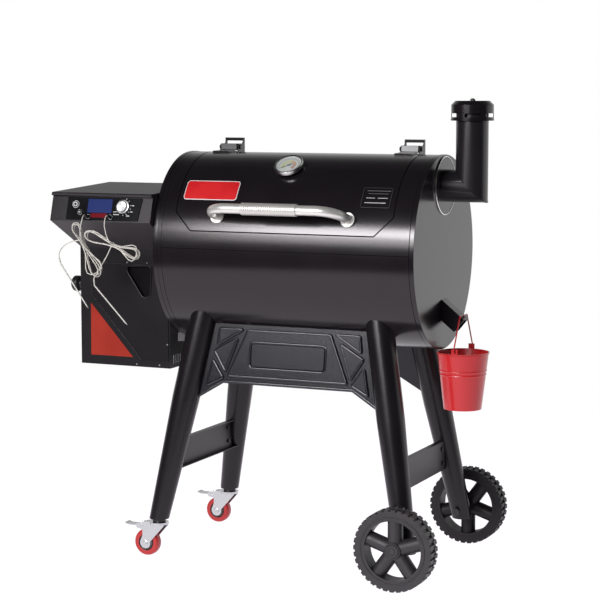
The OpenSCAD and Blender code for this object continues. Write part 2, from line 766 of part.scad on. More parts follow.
// Crossbars join the front and rear leg of a side
bolt_r = 3;
bolt_inset = leg_top_d / 2 + 16;
function crossbar_low(side) = crossbar_z - (side > 0 ? crossbar_step : 0);
function crossbar_x(side) = leg_x(side, crossbar_low(side) + crossbar_height / 2);
module at_crossbar_bolts(side) for (end = [-1, 1]) for (share = [0.25, 0.75]) {
    z = crossbar_low(side) + share * crossbar_height;
    translate([crossbar_x(side), leg_y(end, z) - end * bolt_inset, z])
        mirror([side < 0 ? 1 : 0, 0, 0]) children();
}
module crossbar(side) color(paint) {
    z1 = crossbar_low(side);
    z2 = z1 + crossbar_height;
    x = crossbar_x(side);
    difference() {
        union() {
            along_x(x - crossbar_t / 2, crossbar_t)
                polygon([[leg_y(-1, z1), z1], [leg_y(1, z1), z1], [leg_y(1, z2), z2], [leg_y(-1, z2), z2]]);
            for (z = [z1, z2 - crossbar_t])
                translate([side > 0 ? x - crossbar_flange : x, leg_y(-1, z), z])
                    cube([crossbar_flange, 2 * leg_y(1, z), crossbar_t]);
        }
        for (end = [-1, 1]) leg_body(side, end, seat);
        at_crossbar_bolts(side) rod_x(-10, 20, bolt_r + run_fit);
    }
}
module left_crossbar() crossbar(-1);
module right_crossbar() crossbar(1);

module fasteners() color(dark) {
    head_h = 3.5;
    nut_h = 4;
    for (side = [-1, 1]) at_crossbar_bolts(side) {
        rod_x(crossbar_t / 2, head_h, 2 * bolt_r);
        rod_x(-crossbar_t / 2 - nut_h, crossbar_t + 2 * nut_h, bolt_r);
        rod_x(-crossbar_t / 2 - nut_h, nut_h, 1.8 * bolt_r);
    }
    // Axle bolts run through the right legs and carry the wheels
    for (end = [-1, 1]) {
        leg_out = foot_y - tan(splay_front) * (axle_z - left_foot_z);
        inner = leg_out - leg_foot_d / 2 - 8;
        collar = leg_out + leg_foot_d / 2 + 5;
        hub_in = wheel_y - wheel_width / 2 - seat;
        tip = wheel_y + wheel_width / 2 - 8;
        translate([axle_x, 0, axle_z]) mirror([0, end < 0 ? 1 : 0, 0]) {
            rod_y(inner, tip - inner, axle_d / 2);
            rod_y(inner - 6, 6, axle_d * 0.85);
            rod_y(collar, hub_in - collar, axle_d * 0.8);
        }
    }
}

// Large wheel, its Z pointing away from the grill
function lug_outline(n, tip, root, turn) = [for (i = [0 : n - 1]) each
    [for (c = [[0.06, root], [0.16, tip], [0.74, tip], [0.84, root]])
        let (a = (i + c[0] + turn) * 360 / n) [c[1] * cos(a), c[1] * sin(a)]]];
module wheel() {
    half = wheel_width / 2;
    lug = 4;
    band = wheel_r - lug;
    rim_in = wheel_r - 28;
    hub_r = 21;
    spoke_r = 19;
    spokes = 5;
    groove = 3;
    cap_r = 15;
    difference() {
        union() {
            translate([0, 0, -half]) ring(band, rim_in, wheel_width);
            for (s = [0, 1]) difference() {
                translate([0, 0, s == 0 ? -half : groove])
                    linear_extrude(half - groove) polygon(lug_outline(lug_count, wheel_r, band - 1, s / 2));
                translate([0, 0, -half - 1]) cylinder(h = wheel_width + 2, r = band - 4);
            }
            translate([0, 0, -half]) cylinder(h = wheel_width, r = hub_r);
            for (i = [0 : spokes - 1]) rotate([0, 0, 90 + i * 360 / spokes])
                rod_x(hub_r - 8, rim_in + 4 - hub_r + 8, spoke_r);
            translate([0, 0, half - 1]) cylinder(h = 4, r = cap_r);
        }
        translate([0, 0, -half - 1]) cylinder(h = wheel_width - 6, r = axle_d / 2 + run_fit);
    }
}
module place_wheel(end) translate([axle_x, end * wheel_y, axle_z]) rotate([end < 0 ? 90 : -90, 0, 0]) wheel();
module front_wheel() color(dark) place_wheel(-1);
module rear_wheel() color(dark) place_wheel(1);

// Braked swivel casters under the left legs
module at_caster(end) translate([leg_x(-1, left_foot_z), leg_y(end, left_foot_z), 0]) children();
module caster_stems() color(dark) for (end = [-1, 1]) at_caster(end) {
    translate([0, 0, caster_head_z]) cylinder(h = left_foot_z - caster_head_z, r = 17);
    translate([0, 0, fork_top_z - fork_head_t]) cylinder(h = left_foot_z - fork_top_z + fork_head_t + 24,
        r = caster_swivel_r);
}
module caster_fork(end) color(zinc) at_caster(end) {
    head_r = 25;
    cheek_r = 15;
    neck = 8;
    low = fork_top_z - fork_head_t;
    tail = brake_pivot_x - 14;
    translate([0, 0, low]) difference() {
        union() {
            cylinder(h = fork_head_t, r = head_r);
            translate([brake_pivot_x + 14, -fork_inner, 0])
                cube([-brake_pivot_x - 14, 2 * fork_inner, fork_head_t]);
        }
        translate([0, 0, -1]) cylinder(h = fork_head_t + 2, r = caster_swivel_r + run_fit);
    }
    for (s = [-1, 1]) difference() {
        along_y(s < 0 ? -fork_inner - fork_t : fork_inner, fork_t) {
            polygon([[20, low + fork_head_t - 1], [20, low - 2], [cheek_r - caster_trail, caster_r + 4],
                [-cheek_r - caster_trail, caster_r + 1], [-neck - caster_trail, caster_r + 20],
                [-neck - caster_trail, low - 16], [tail, low - 12], [tail, low - 1],
                [brake_pivot_x + 14, low + fork_head_t - 1]]);
            translate([-caster_trail, caster_r]) circle(cheek_r);
        }
        translate([brake_pivot_x, 0, brake_pivot_z]) rod_y(-40, 80, brake_pin_r + run_fit);
    }
    // The cheeks are joined to the head at their upper edges
    translate([-18, -fork_inner - fork_t, low]) cube([36, 2 * (fork_inner + fork_t), fork_head_t / 2]);
    translate([-caster_trail, 0, caster_r]) rod_y(-fork_inner - fork_t - 2, 2 * (fork_inner + fork_t + 2),
        caster_axle_r);
}
module front_caster_fork() caster_fork_bored(-1);
module rear_caster_fork() caster_fork_bored(1);
module caster_fork_bored(end) difference() {
    caster_fork(end);
    at_caster(end) translate([0, 0, fork_top_z - fork_head_t - 1])
        cylinder(h = fork_head_t + 2, r = caster_swivel_r + run_fit);
}
module caster_wheel(end) color(red) at_caster(end) translate([-caster_trail, 0, caster_r]) rotate([90, 0, 0])
    rotate_extrude() {
        half = caster_width / 2;
        bore = caster_axle_r + run_fit;
        polygon([[bore, -half - 1], [11, -half - 1], [12, -half + 2], [20, -half + 2], [21, -half],
            [caster_r - 4, -half], [caster_r - 1, -half + 3], [caster_r, -half + 7], [caster_r, half - 7],
            [caster_r - 1, half - 3], [caster_r - 4, half], [21, half], [20, half - 2], [12, half - 2],
            [11, half + 1], [bore, half + 1]]);
    }
module front_caster_wheel() caster_wheel(-1);
module rear_caster_wheel() caster_wheel(1);
module caster_brake(end) color(zinc) at_caster(end) translate([brake_pivot_x, 0, brake_pivot_z]) {
    pedal_t = 3;
    reach = 50;
    lift = 2;
    rod_y(-fork_inner - fork_t - 1, 2 * (fork_inner + fork_t + 1), brake_pin_r);
    along_y(-brake_half_w, 2 * brake_half_w)
        polygon([[4, -3], [4, lift], [-reach + 10, lift], [-reach, lift + 3], [-reach, lift - pedal_t + 3],
            [-reach + 10, lift - pedal_t], [-8, lift - pedal_t], [-4, -3]]);
}
module front_caster_brake() caster_brake(-1);
module rear_caster_brake() caster_brake(1);

// Hopper: the overlap of a side outline and a front outline, set in by a margin
module hopper_solid(inset, lift) intersection() {
    slope = (panel_front - hopper_front) / (panel_z - hopper_waist_z);
    drop = inset * (sqrt(1 + slope * slope) - 1) / slope;
    // A raised top follows the panel's lean
    lean = panel_lean * (panel_top_z + lift - panel_z) / (panel_top_z - panel_z);
    along_x(hopper_left - 10, hopper_width + 20)
        polygon([[inset - hopper_front, hopper_floor_z + inset], [inset - hopper_front,
            hopper_waist_z + drop],
            [inset - panel_front, panel_z + drop], [inset + lean - panel_front, panel_top_z + lift],
            [hopper_back - inset, hopper_top_back_z + lift], [hopper_back - inset, hopper_floor_z + inset]]);
    along_y(-panel_front - 10, panel_front + hopper_back + 20)
        polygon([[hopper_right - inset, hopper_floor_z + inset], [hopper_right - inset,
            hopper_top_back_z + 40],
            [hopper_left + inset, hopper_top_back_z + 40], [hopper_left + inset, panel_z + drop],
            [box_left + inset, hopper_waist_z + drop], [box_left + inset, hopper_floor_z + inset]]);
}
module on_panel() translate([hopper_right, -panel_front, panel_z]) rotate([-panel_angle, 0, 0]) children();
// Pellet funnel inside the hopper, from its rim down to the auger's tube
funnel_top_z = hopper_waist_z + 40;
funnel_low_z = auger_z + auger_r + auger_wall + seat;
funnel_x = auger_left + 60;
module funnel(inset) intersection() {
    mouth_half = 40;
    neck_half = 20;
    extra = inset > 0 ? 10 : 0;
    along_x(hopper_left, hopper_width)
        polygon([[inset - hopper_front + 10, funnel_top_z + extra], [hopper_back - 12 - inset,
            funnel_top_z + extra],
            [hopper_back - 12 - inset, funnel_top_z], [neck_half - inset, funnel_low_z + 30],
            [neck_half - inset, funnel_low_z - extra], [inset - neck_half, funnel_low_z - extra],
            [inset - neck_half, funnel_low_z + 30], [inset - hopper_front + 10, funnel_top_z]]);
    along_y(-panel_front, panel_front + hopper_back)
        polygon([[box_left + 14 + inset, funnel_top_z + extra], [hopper_right - 12 - inset,
            funnel_top_z + extra],
            [hopper_right - 12 - inset, funnel_top_z], [funnel_x + mouth_half - inset, funnel_low_z + 30],
            [funnel_x + mouth_half - inset, funnel_low_z - extra], [funnel_x - mouth_half + inset,
                funnel_low_z - extra],
            [funnel_x - mouth_half + inset, funnel_low_z + 30], [box_left + 14 + inset, funnel_top_z]]);
}
// Sunk pull in the access panel, from the hopper's right side and floor
pull_outline = [[-124, 266], [-54, 269], [-59, 191], [-79, 187], [-123, 252]];
pull_middle = [-84, 245];
function pull_grown(g) = [for (p = pull_outline) p + g * (p - pull_middle) / norm(p - pull_middle)];
pull_depth = 12;
gate_y = -90;
gate_z = hopper_floor_z + 211;
gate_rod_r = 5;
// Sheet funnel on a flange that fills the box at its waist
module hopper_funnel() color(zinc) difference() {
    union() {
        funnel(0);
        intersection() {
            hopper_solid(hopper_wall + seat, 0);
            translate([-far, -far / 2, funnel_top_z - hopper_wall]) cube([far, far, hopper_wall]);
        }
    }
    funnel(hopper_wall);
}

module hopper_shell() color(paint) {
    slit = 3;
    lug_w = 16;
    difference() {
        hopper_solid(0, 0);
        hopper_solid(hopper_wall, 20);
        // Window behind the control panel
        on_panel() translate([-hopper_width + 56, -10, 6]) cube([hopper_width - 102, 20, panel_height - 14]);
        // Sunk pull, auger, clean-out rod
        translate([hopper_right, 0, hopper_floor_z]) along_y(-hopper_front - 5, 10) polygon(pull_grown(4));
        translate([0, 0, auger_z]) rod_x(hopper_right - 10, 20, auger_r + auger_wall + seat);
        translate([0, gate_y, gate_z]) rod_x(box_left - 10, 20, gate_rod_r + run_fit);
        // Cooling slits low on the right side and beside the clean-out knob
        for (i = [0 : 5]) translate([hopper_right - 5, 12 * i - hopper_front + 14,
            hopper_floor_z + 12]) cube([10, slit, 22]);
        for (i = [0 : 6]) translate([box_left - 5, -hopper_front + 8, gate_z - 40 + 12 * i])
            cube([10, slit, 7]);
    }
    // Lugs and pin of the lid's hinge
    for (x = [hopper_left + 50, hopper_right - 50 - lug_w]) translate([x, 0, 0]) along_x(0, lug_w)
        polygon([[hopper_back - 1, hopper_pin_z - 40], [hopper_pin_y + 6, hopper_pin_z - 14],
            [hopper_pin_y + 6, hopper_pin_z + 5], [hopper_pin_y - 6, hopper_pin_z + 5],
            [hopper_pin_y - 6, hopper_top_back_z - 6], [hopper_back - 1, hopper_top_back_z - 6]]);
    translate([0, hopper_pin_y, hopper_pin_z]) rod_x(hopper_left + 24, hopper_width - 48, hopper_pin_r);
}
module hopper_lid() color(paint) {
    front = panel_front - panel_lean + 8;
    knuckle_w = 22;
    gap = 1;
    top_depth = hopper_back + panel_front - panel_lean;
    z_at = function (y) panel_top_z + hopper_top_rise * (y + panel_front - panel_lean) / top_depth;
    back = hopper_back - 2;
    difference() {
        union() {
            along_x(hopper_left, hopper_width)
                polygon([[-front, z_at(-front) + seat], [-front, z_at(-front) + hopper_lid_t - 3],
                    [-front + 3, z_at(-front) + hopper_lid_t], [back, z_at(back) + hopper_lid_t],
                    [back, z_at(back) + seat]]);
            for (x = [hopper_left + 50 - gap - knuckle_w, hopper_right - 50 + gap]) {
                translate([0, hopper_pin_y, hopper_pin_z]) rod_x(x, knuckle_w, hopper_pin_r + 3.5);
                along_x(x, knuckle_w)
                    polygon([[back - 3, z_at(back) + 1], [hopper_pin_y, hopper_pin_z - 1], [hopper_pin_y,
                        hopper_pin_z + 6],
                        [back - 3, z_at(back) + 9]]);
            }
        }
        translate([0, hopper_pin_y, hopper_pin_z]) rod_x(hopper_left, hopper_width, hopper_pin_r + run_fit);
    }
}

module control_panel() color(dark) on_panel() {
    left = 49 - hopper_width;
    cover = [[left, 3], [-36, 3], [-28, panel_height - 4], [left, panel_height - 4]];
    jack_r = 5;
    difference() {
        union() {
            along_y(-insert_t, insert_t - seat) polygon(cover);
            for (j = jack_at) translate([j[0], 0, j[1]]) rod_y(-insert_t - 2, 3, jack_r);
        }
        translate([knob_at[0], 0, knob_at[1]]) rod_y(-20, 40, gauge_post_r + 2 + run_fit);
        for (b = [power_at, menu_at]) translate([b[0], 0, b[1]]) rod_y(-20, 40, button_d / 2 + run_fit);
        translate([display_at[0] - display_size[0] / 2 - seat, -20,
            display_at[1] - display_size[1] / 2 - seat])
            cube([display_size[0] + 2 * seat, 40, display_size[1] + 2 * seat]);
    }
}
module display() color("#2338a8") on_panel()
    translate([display_at[0] - display_size[0] / 2, -display_t, display_at[1] - display_size[1] / 2])
        cube([display_size[0], display_t, display_size[1]]);
knob_shaft_r = gauge_post_r + 2;
module control_knob() color(steel) on_panel() translate([knob_at[0], -insert_t, knob_at[1]]) {
    knob_h = 10;
    rod_y(-2, 14, knob_shaft_r);
    rotate([90, 0, 0]) translate([0, 0, 0.4]) {
        rotate_extrude() polygon([[0, 0], [knob_d / 2, 0], [knob_d / 2, 4], [knob_d / 2 - 3, 5],
            [knob_d / 2 - 4, knob_h - 1], [knob_d / 2 - 5, knob_h], [0, knob_h]]);
        translate([-1, knob_d / 2 - 12, knob_h - 1]) cube([2, 7, 1.6]);
    }
}
// A push button: its cap stands out of the panel and a collar behind keeps it there
button_travel = 1.5;
module button(at) on_panel() translate([at[0], 0, at[1]]) {
    rod_y(-insert_t - 3, insert_t + 5, button_d / 2);
    rod_y(seat, 2, button_d / 2 + 2);
}
module power_button() color(dark) button(power_at);
module menu_button() color(dark) button(menu_at);

module access_panel() color(paint) translate([hopper_right, 0, hopper_floor_z]) {
    t = 2;
    y0 = -hopper_front - t - seat;
    screw_r = 3.5;
    edge = 4;
    wide = hopper_right - box_left - 34;
    low = 19;
    high = hopper_waist_z - hopper_floor_z - 43;
    difference() {
        along_y(y0, t) polygon([[-wide, high], [-edge, high], [-edge, low], [-85, low], [-wide, 188]]);
        along_y(y0 - 1, t + 2) polygon(pull_outline);
    }
    difference() {
        along_y(y0 + t / 2, pull_depth) polygon(pull_grown(2));
        along_y(y0 - 1, pull_depth - t / 2) polygon(pull_outline);
    }
    for (s = [[-14, 64], [-14, high - 33], [-95, 40], [8 - wide, high - 11]])
        translate([s[0], y0, s[1]]) rod_y(-1.5, 2, screw_r);
}
module cleanout_knob() color(dark) translate([box_left, gate_y, gate_z]) {
    grip_r = 21;
    grip_l = 38;
    rod_x(-8, 90, gate_rod_r);
    translate([-4 - grip_l, 0, 0]) rotate([0, 90, 0]) rotate_extrude()
        polygon([[0, 0], [grip_r - 5, 0], [grip_r, 5], [grip_r, 18], [grip_r - 8, 24], [grip_r - 8,
            grip_l], [0, grip_l]]);
}

// Works: auger, fan, firepot and what lies in the barrel
module auger_tube() color(zinc) translate([0, 0, auger_z]) {
    end = firepot_x - firepot_r - 2;
    difference() {
        rod_x(auger_left, end - auger_left, auger_r + auger_wall);
        rod_x(auger_left - 1, end - auger_left + 2, auger_r);
        translate([funnel_x - 36, -16, 0]) cube([72, 32, auger_r + 10]);
    }
}
module auger_screw() color(steel) translate([0, 0, auger_z]) {
    pitch = 44;
    start = auger_left + 6;
    length = firepot_x - firepot_r - 8 - start;
    rod_x(auger_left - 20, length + 26, auger_shaft_r);
    translate([start, 0, 0]) rotate([0, 90, 0])
        linear_extrude(length, twist = -360 * length / pitch / 2, slices = floor(length / 9), $fn = 8)
            square([2 * auger_r - 5, 3], center = true);
}
module auger_motor() color(dark) translate([auger_left, 0, auger_z]) {
    half = 34;
    difference() {
        union() {
            translate([-3 - 40, -half, -half]) cube([40, 2 * half, 2 * half]);
            translate([-3, -half, -half]) cube([3 - seat, 2 * half, 2 * half]);
            translate([-20, -half, hopper_floor_z + hopper_wall + seat - auger_z])
                cube([12, 2 * half, auger_z - half - hopper_floor_z]);
        }
        rod_x(-24, 40, auger_shaft_r + run_fit);
    }
}
module fan_housing() color(dark) translate([fan_x, 0, fan_z]) {
    wall = 2;
    r = fan_r + 4;
    half = fan_width / 2 + 4;
    seat_z = hopper_floor_z + hopper_wall + seat - fan_z;
    reach = hopper_right - hopper_wall - seat - fan_x;
    difference() {
        union() {
            rod_x(-half - wall, 2 * (half + wall), r + wall);
            translate([0, -30, seat_z]) cube([reach, 60, r * 0.7]);
            translate([-half - wall, -r, seat_z]) cube([2 * (half + wall), 2 * r, 8]);
        }
        rod_x(-half, 2 * half, r);
        rod_x(-half - wall - 1, wall + 2, r * 0.6);
        translate([half - 6, -28, seat_z + wall]) cube([reach, 56, r * 0.7 - 2 * wall]);
    }
    // Pin of the fan wheel, on the wall beside the duct
    rod_x(-half + 6, 2 * half - 5, fan_pin_r);
    translate([half - 1, -6, -r]) cube([wall + 1, 12, r + 6]);
}
module fan_wheel() color(steel) translate([fan_x, 0, fan_z]) difference() {
    blades = 10;
    union() {
        rod_x(-fan_width / 2, fan_width, fan_pin_r + 5);
        rod_x(fan_width / 2 - 2, 2, fan_r);
        for (i = [0 : blades - 1]) rotate([i * 360 / blades, 0, 0])
            translate([-fan_width / 2, fan_pin_r + 4, -1]) cube([fan_width, fan_r - fan_pin_r - 5, 2]);
    }
    rod_x(-fan_width, 2 * fan_width, fan_pin_r + run_fit);
}
module inside_barrel() intersection() {
    children();
    barrel_prism(-shell_wall - seat, -half_length + shell_wall + seat,
        barrel_length - 2 * (shell_wall + seat));
}
module firepot() color("#4a4a4c") inside_barrel() difference() {
    top = auger_z + 44;
    floor_z = barrel_axis_z - barrel_half_height + 22;
    union() {
        translate([firepot_x, 0, barrel_axis_z - barrel_half_height])
            cylinder(h = top - barrel_axis_z + barrel_half_height, r = firepot_r);
        translate([firepot_x - firepot_r - 24, firepot_r * 0.7, floor_z + 14])
            rod_x(0, firepot_r * 0.5 + 24, 5);
    }
    translate([firepot_x, 0, floor_z]) cylinder(h = 200, r = firepot_r - 3);
    translate([firepot_x, 0, -50]) cylinder(h = floor_z + 47, r = firepot_r - 3);
    translate([0, 0, auger_z]) rod_x(firepot_x - firepot_r - 10, 30, auger_r);
}
module heat_baffle() color("#4a4a4c") inside_barrel() {
    z = auger_z + 74;
    half = 130;
    t = 2;
    lip = 20;
    translate([firepot_x - half, -far / 2, z]) cube([2 * half, far, t]);
    for (x = [-half, half - t]) translate([firepot_x + x, -far / 2, z - lip]) cube([t, far, lip + t / 2]);
}
module drip_tray() color("#4a4a4c") inside_barrel() {
    slope = 2.4;
    t = 2;
    low_z = chute_z + 6;
    smoke_gap = 40;
    drip_gap = 10;
    translate([half_length, 0, low_z]) rotate([0, slope, 0])
        translate([smoke_gap - barrel_length, -far / 2, 0])
            cube([barrel_length - smoke_gap - drip_gap, far, t]);
}
module cooking_grate() color(steel) {
    half_x = half_length - shell_wall - 1;
    half_y = barrel_half_depth - shell_wall - 8;
    rods = 28;
    border = 7;
    rod_w = 5;
    translate([0, 0, grate_z]) {
        difference() {
            translate([-half_x, -half_y, 0]) cube([2 * half_x, 2 * half_y, grate_t]);
            translate([border - half_x, border - half_y, -1])
                cube([2 * (half_x - border), 2 * (half_y - border), grate_t + 2]);
        }
        for (i = [1 : rods]) translate([-half_x + i * 2 * half_x / (rods + 1) - rod_w / 2, 1 - half_y, 0])
            cube([rod_w, 2 * half_y - 2, grate_t]);
    }
}

// Meat probes. A cord is a tube swept along its points, its rings turned to a fixed side direction
function unit(v) = v / norm(v);
function heading(path, i) = unit(path[min(i + 1, len(path) - 1)] - path[max(i - 1, 0)]);
module sweep(path, r, sides, side) {
    n = len(path);
    points = [for (i = [0 : n - 1]) let (t = heading(path, i), b = unit(cross(t, side)), c = cross(b, t))
        for (k = [0 : sides - 1]) path[i] + r * (cos(k * 360 / sides) * b + sin(k * 360 / sides) * c)];
    walls = [for (i = [0 : n - 2]) for (k = [0 : sides - 1]) let (a = i * sides + k, b =
        i * sides + (k + 1) % sides)
        each [[a, a + sides, b + sides], [a, b + sides, b]]];
    ends = concat([for (k = [1 : sides - 2]) [0, k, k + 1]],
        [for (k = [1 : sides - 2]) let (a = (n - 1) * sides) [a, a + k + 1, a + k]]);
    polyhedron(points = points, faces = concat(walls, ends));
}
function jack_point(i) = let (y = -insert_t - 2 - plug_length, j = jack_at[i])
    [hopper_right + j[0], -panel_front + y * cos(panel_angle) + j[1] * sin(panel_angle),
        panel_z - y * sin(panel_angle) + j[1] * cos(panel_angle)];
// A point of a hank: odd half turns run down the far lobe, even ones the near lobe
function hank_point(hank, turn) = let (h = min(floor(turn / 180), hank_half_turns - 1), a = turn,
        s = hank[2][h] * sin(a), t = cos(a) * (hank_waist + hank[3][h] * pow(sin(a), 2)), d = hank[1])
    [hank[0][0] + s * cos(d) - t * sin(d), hank_front_y + hank_pitch * turn / 360,
        hank[0][1] + s * sin(d) + t * cos(d)];
function hank_path(hank, per_loop) = let (steps = hank_half_turns * per_loop / 2)
    [for (i = [0 : steps]) hank_point(hank, i * 360 / per_loop)];
// The ends run straight for one cord diameter along the hank's own direction
function hank_run(hank, step) = step * [cos(hank[1]), 0, sin(hank[1])];
function hank_route(hank, per_loop) = let (p = hank_path(hank, per_loop), run = hank_run(hank, cord_d))
    concat([p[0] - run], p, [p[len(p) - 1] - run]);
function least_gap(path, apart) = min([for (i = [0 : len(path) - 2]) for (j = [i + apart : 1 : len(path) - 1])
    norm(path[i] - path[j])]) - cord_d;
module hank(data) color(zinc) {
    echo(least_gap_of_hank = least_gap(hank_route(data, 96), 12));
    sweep(hank_route(data, loop_rings), cord_d / 2, 6, [0, 1, 0]);
}
module probe_hank_left() translate(jack_point(0)) hank(hank_left);
module probe_hank_right() translate(jack_point(1)) hank(hank_right);
module cord(lead, data, tail) color(zinc) {
    route = hank_route(data, loop_rings);
    first = route[0];
    last = route[len(route) - 1];
    sweep(concat([[0, 0, 0]], lead, [first - hank_run(data, 4), first]), cord_d / 2, 8, [1, 0, 0]);
    sweep(concat([last, last - hank_run(data, 3)], tail), cord_d / 2, 8, [0, 1, 0]);
}
module probe_cord_left() translate(jack_point(0)) cord(left_lead, hank_left, left_tail);
module probe_cord_right() translate(jack_point(1)) cord(right_lead, hank_right, right_tail);
module probe_plugs() color(dark) on_panel() for (j = jack_at) translate([j[0], -insert_t - 2, j[1]])
    rotate([90, 0, 0]) rotate_extrude()
        polygon([[0, 0], [plug_r, 0], [plug_r, plug_length * 0.6], [cord_d / 2 + 0.8, plug_length], [0,
            plug_length]]);
module rod(points) {
    tip = 8;
    r = rod_d / 2;
    long = norm(points[2] - points[1]);
    along = unit(points[2] - points[1]);
    bar(points[0], points[1], r);
    translate(points[1]) sphere(r * bend_ball, $fn = 32);
    translate(points[1]) rotate([0, acos(along[2]), atan2(along[1], along[0])]) rotate_extrude()
        polygon([[0, 0], [r, 0], [r, long - tip], [0.4, long], [0, long]]);
}
module probe_rods() color(steel) {
    translate(jack_point(0)) rod(left_rod);
    translate(jack_point(1)) rod(right_rod);
}

leg_front_left();
leg_front_right();
leg_rear_left();
leg_rear_right();
front_apron();
rear_apron();
left_crossbar();
right_crossbar();
fasteners();
front_wheel();
rear_wheel();
caster_stems();
front_caster_fork();
rear_caster_fork();
front_caster_wheel();
rear_caster_wheel();
front_caster_brake();
rear_caster_brake();
barrel_shell();
left_end_plate();
right_end_plate();
lid();
lid_handle();
handle_grip();
lid_hinge_leaves();
hinge_brackets();
gauge_case();
gauge_dial();
gauge_needle();
gauge_lens();
flue_pipe();
flue_cap();
grease_chute();
grease_bucket();
bucket_bail();
hopper_shell();
hopper_funnel();
hopper_lid();
control_panel();
display();
control_knob();
power_button();
menu_button();
access_panel();
cleanout_knob();
auger_tube();
auger_screw();
auger_motor();
fan_housing();
fan_wheel();
firepot();
heat_baffle();
drip_tray();
cooking_grate();
probe_plugs();
probe_cord_left();
probe_hank_left();
probe_cord_right();
probe_hank_right();
probe_rods();
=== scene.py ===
import json
import math
import bpy
from mathutils import Matrix, Vector


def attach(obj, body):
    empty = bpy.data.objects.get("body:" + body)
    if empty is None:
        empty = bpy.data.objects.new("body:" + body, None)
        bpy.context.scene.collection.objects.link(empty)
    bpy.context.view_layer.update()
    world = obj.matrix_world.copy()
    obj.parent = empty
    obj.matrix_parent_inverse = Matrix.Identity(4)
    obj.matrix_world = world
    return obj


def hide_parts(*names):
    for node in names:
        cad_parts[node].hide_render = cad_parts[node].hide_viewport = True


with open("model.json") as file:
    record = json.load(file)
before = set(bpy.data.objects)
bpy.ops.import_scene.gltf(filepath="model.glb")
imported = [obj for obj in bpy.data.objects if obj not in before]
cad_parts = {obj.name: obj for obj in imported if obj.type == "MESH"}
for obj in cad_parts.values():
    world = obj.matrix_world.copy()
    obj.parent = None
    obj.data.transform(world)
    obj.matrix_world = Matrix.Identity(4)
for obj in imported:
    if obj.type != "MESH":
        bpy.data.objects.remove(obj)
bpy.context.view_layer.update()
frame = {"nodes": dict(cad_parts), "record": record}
nodes = frame["nodes"]
mm = 0.001
bodyOf = {n: b for b, names in frame["record"]["behaviour"]["bodies"].items() for n in names}
print("frame loaded:", len(nodes), "nodes")


class Wire:  # a shader socket that takes part in sums
    def __init__(self, paint, out):
        self.paint = paint
        self.out = out

    def math(self, kind, other=0.5, swap=False):  # kinds that take one value ignore the other
        pair = (other, self) if swap else (self, other)
        return self.paint.add("Math", {"operation": kind}, {0: pair[0], 1: pair[1]})

    def __add__(self, other):
        return self.math("ADD", other)

    def __sub__(self, other):
        return self.math("SUBTRACT", other)

    def __rsub__(self, other):
        return self.math("SUBTRACT", other, True)

    def __mul__(self, other):
        return self.math("MULTIPLY", other)

    def __truediv__(self, other):
        return self.math("DIVIDE", other)

    def __pow__(self, other):
        return self.math("POWER", other)

    def __gt__(self, other):
        return self.math("GREATER_THAN", other)

    def __lt__(self, other):
        return self.math("LESS_THAN", other)

    __radd__ = __add__
    __rmul__ = __mul__


class Paint:  # a finish, or the light of the room: one shader and the nodes that feed it
    def __init__(self, name, world=None, **fixed):
        self.mat = world or bpy.data.materials.new(name)
        self.mat.use_nodes = True
        self.tree = self.mat.node_tree
        self.shader = self.tree.nodes["Background" if world else "Principled BSDF"]
        self.feed(fixed)

    def feed(self, sockets):
        for socket, value in sockets.items():
            socket = socket.replace("_", " ")
            if isinstance(value, Wire):
                self.tree.links.new(value.out, self.shader.inputs[socket])
            else:
                self.shader.inputs[socket].default_value = value

    def add(self, kind, settings, sockets, out=0):
        node = self.tree.nodes.new("ShaderNode" + kind)
        for name, value in settings.items():
            if name == "stops":
                ramp = node.color_ramp.elements
                while len(ramp) < len(value):
                    ramp.new(0.5)
                for stop, (place, colour) in zip(ramp, value):
                    stop.position = place
                    stop.color = (*colour, 1)
            else:
                setattr(node, name, value)
        for socket, value in sockets.items():
            if isinstance(value, Wire):
                self.tree.links.new(value.out, node.inputs[socket])
            else:
                node.inputs[socket].default_value = value
        return Wire(self, node.outputs[out])

    def place(self, shift=(0, 0, 0), turn=(0, 0, 0), scale=(1, 1, 1)):
        spot = self.add("TexCoord", {}, {}, "Object")
        return self.add("Mapping", {"vector_type": "TEXTURE"},
                        {"Vector": spot, "Location": shift, "Rotation": turn, "Scale": scale})

    def axes(self, where, letters):
        return [self.add("SeparateXYZ", {}, {"Vector": where}, letter) for letter in letters]

    def noise(self, where, scale, detail, rough=0.5):
        return self.add("TexNoise", {},
                        {"Vector": where, "Scale": scale, "Detail": detail, "Roughness": rough})

    def span(self, value, low, high, start=0.0, end=1.0):
        return self.add("MapRange", {"interpolation_type": "SMOOTHSTEP"},
                        {0: value, 1: low, 2: high, 3: start, 4: end})

    def blend(self, factor, first, second):
        first, second = ((*c, 1) if isinstance(c, tuple) else c for c in (first, second))
        return self.add("Mix", {"data_type": "RGBA"}, {0: factor, 6: first, 7: second}, 2)

    def bump(self, height, depth):
        return self.add("Bump", {}, {"Strength": 1.0, "Distance": depth, "Height": height})

    def coatParts(self, where, peelScale):
        # what every sprayed coat is made of: broad clouds, orange peel and fine grit
        cloud = self.noise(where, 7, 4, 0.55)
        skin = self.noise(where, peelScale, 2)
        grit = self.noise(where, 2400, 1)
        return cloud, skin, grit

    def coatMix(self, cloud, grit):
        return self.span(cloud, 0.3, 0.7) * 0.7 + self.span(grit, 0.45, 0.75) * 0.3


def powderCoat(name, dark, light, rough, peel, peelScale, spread=0.05, **fixed):
    # peel is the depth of the orange peel and peelScale its fineness; spread makes the gloss uneven
    p = Paint(name, **fixed)
    cloud, skin, grit = p.coatParts(p.place(), peelScale)
    p.feed({"Base Color": p.blend(p.coatMix(cloud, grit), dark, light),
            "Roughness": rough + (cloud - 0.5) * spread + (grit - 0.5) * spread,
            "Normal": p.bump(skin + grit * 0.25, peel)})
    return p.mat


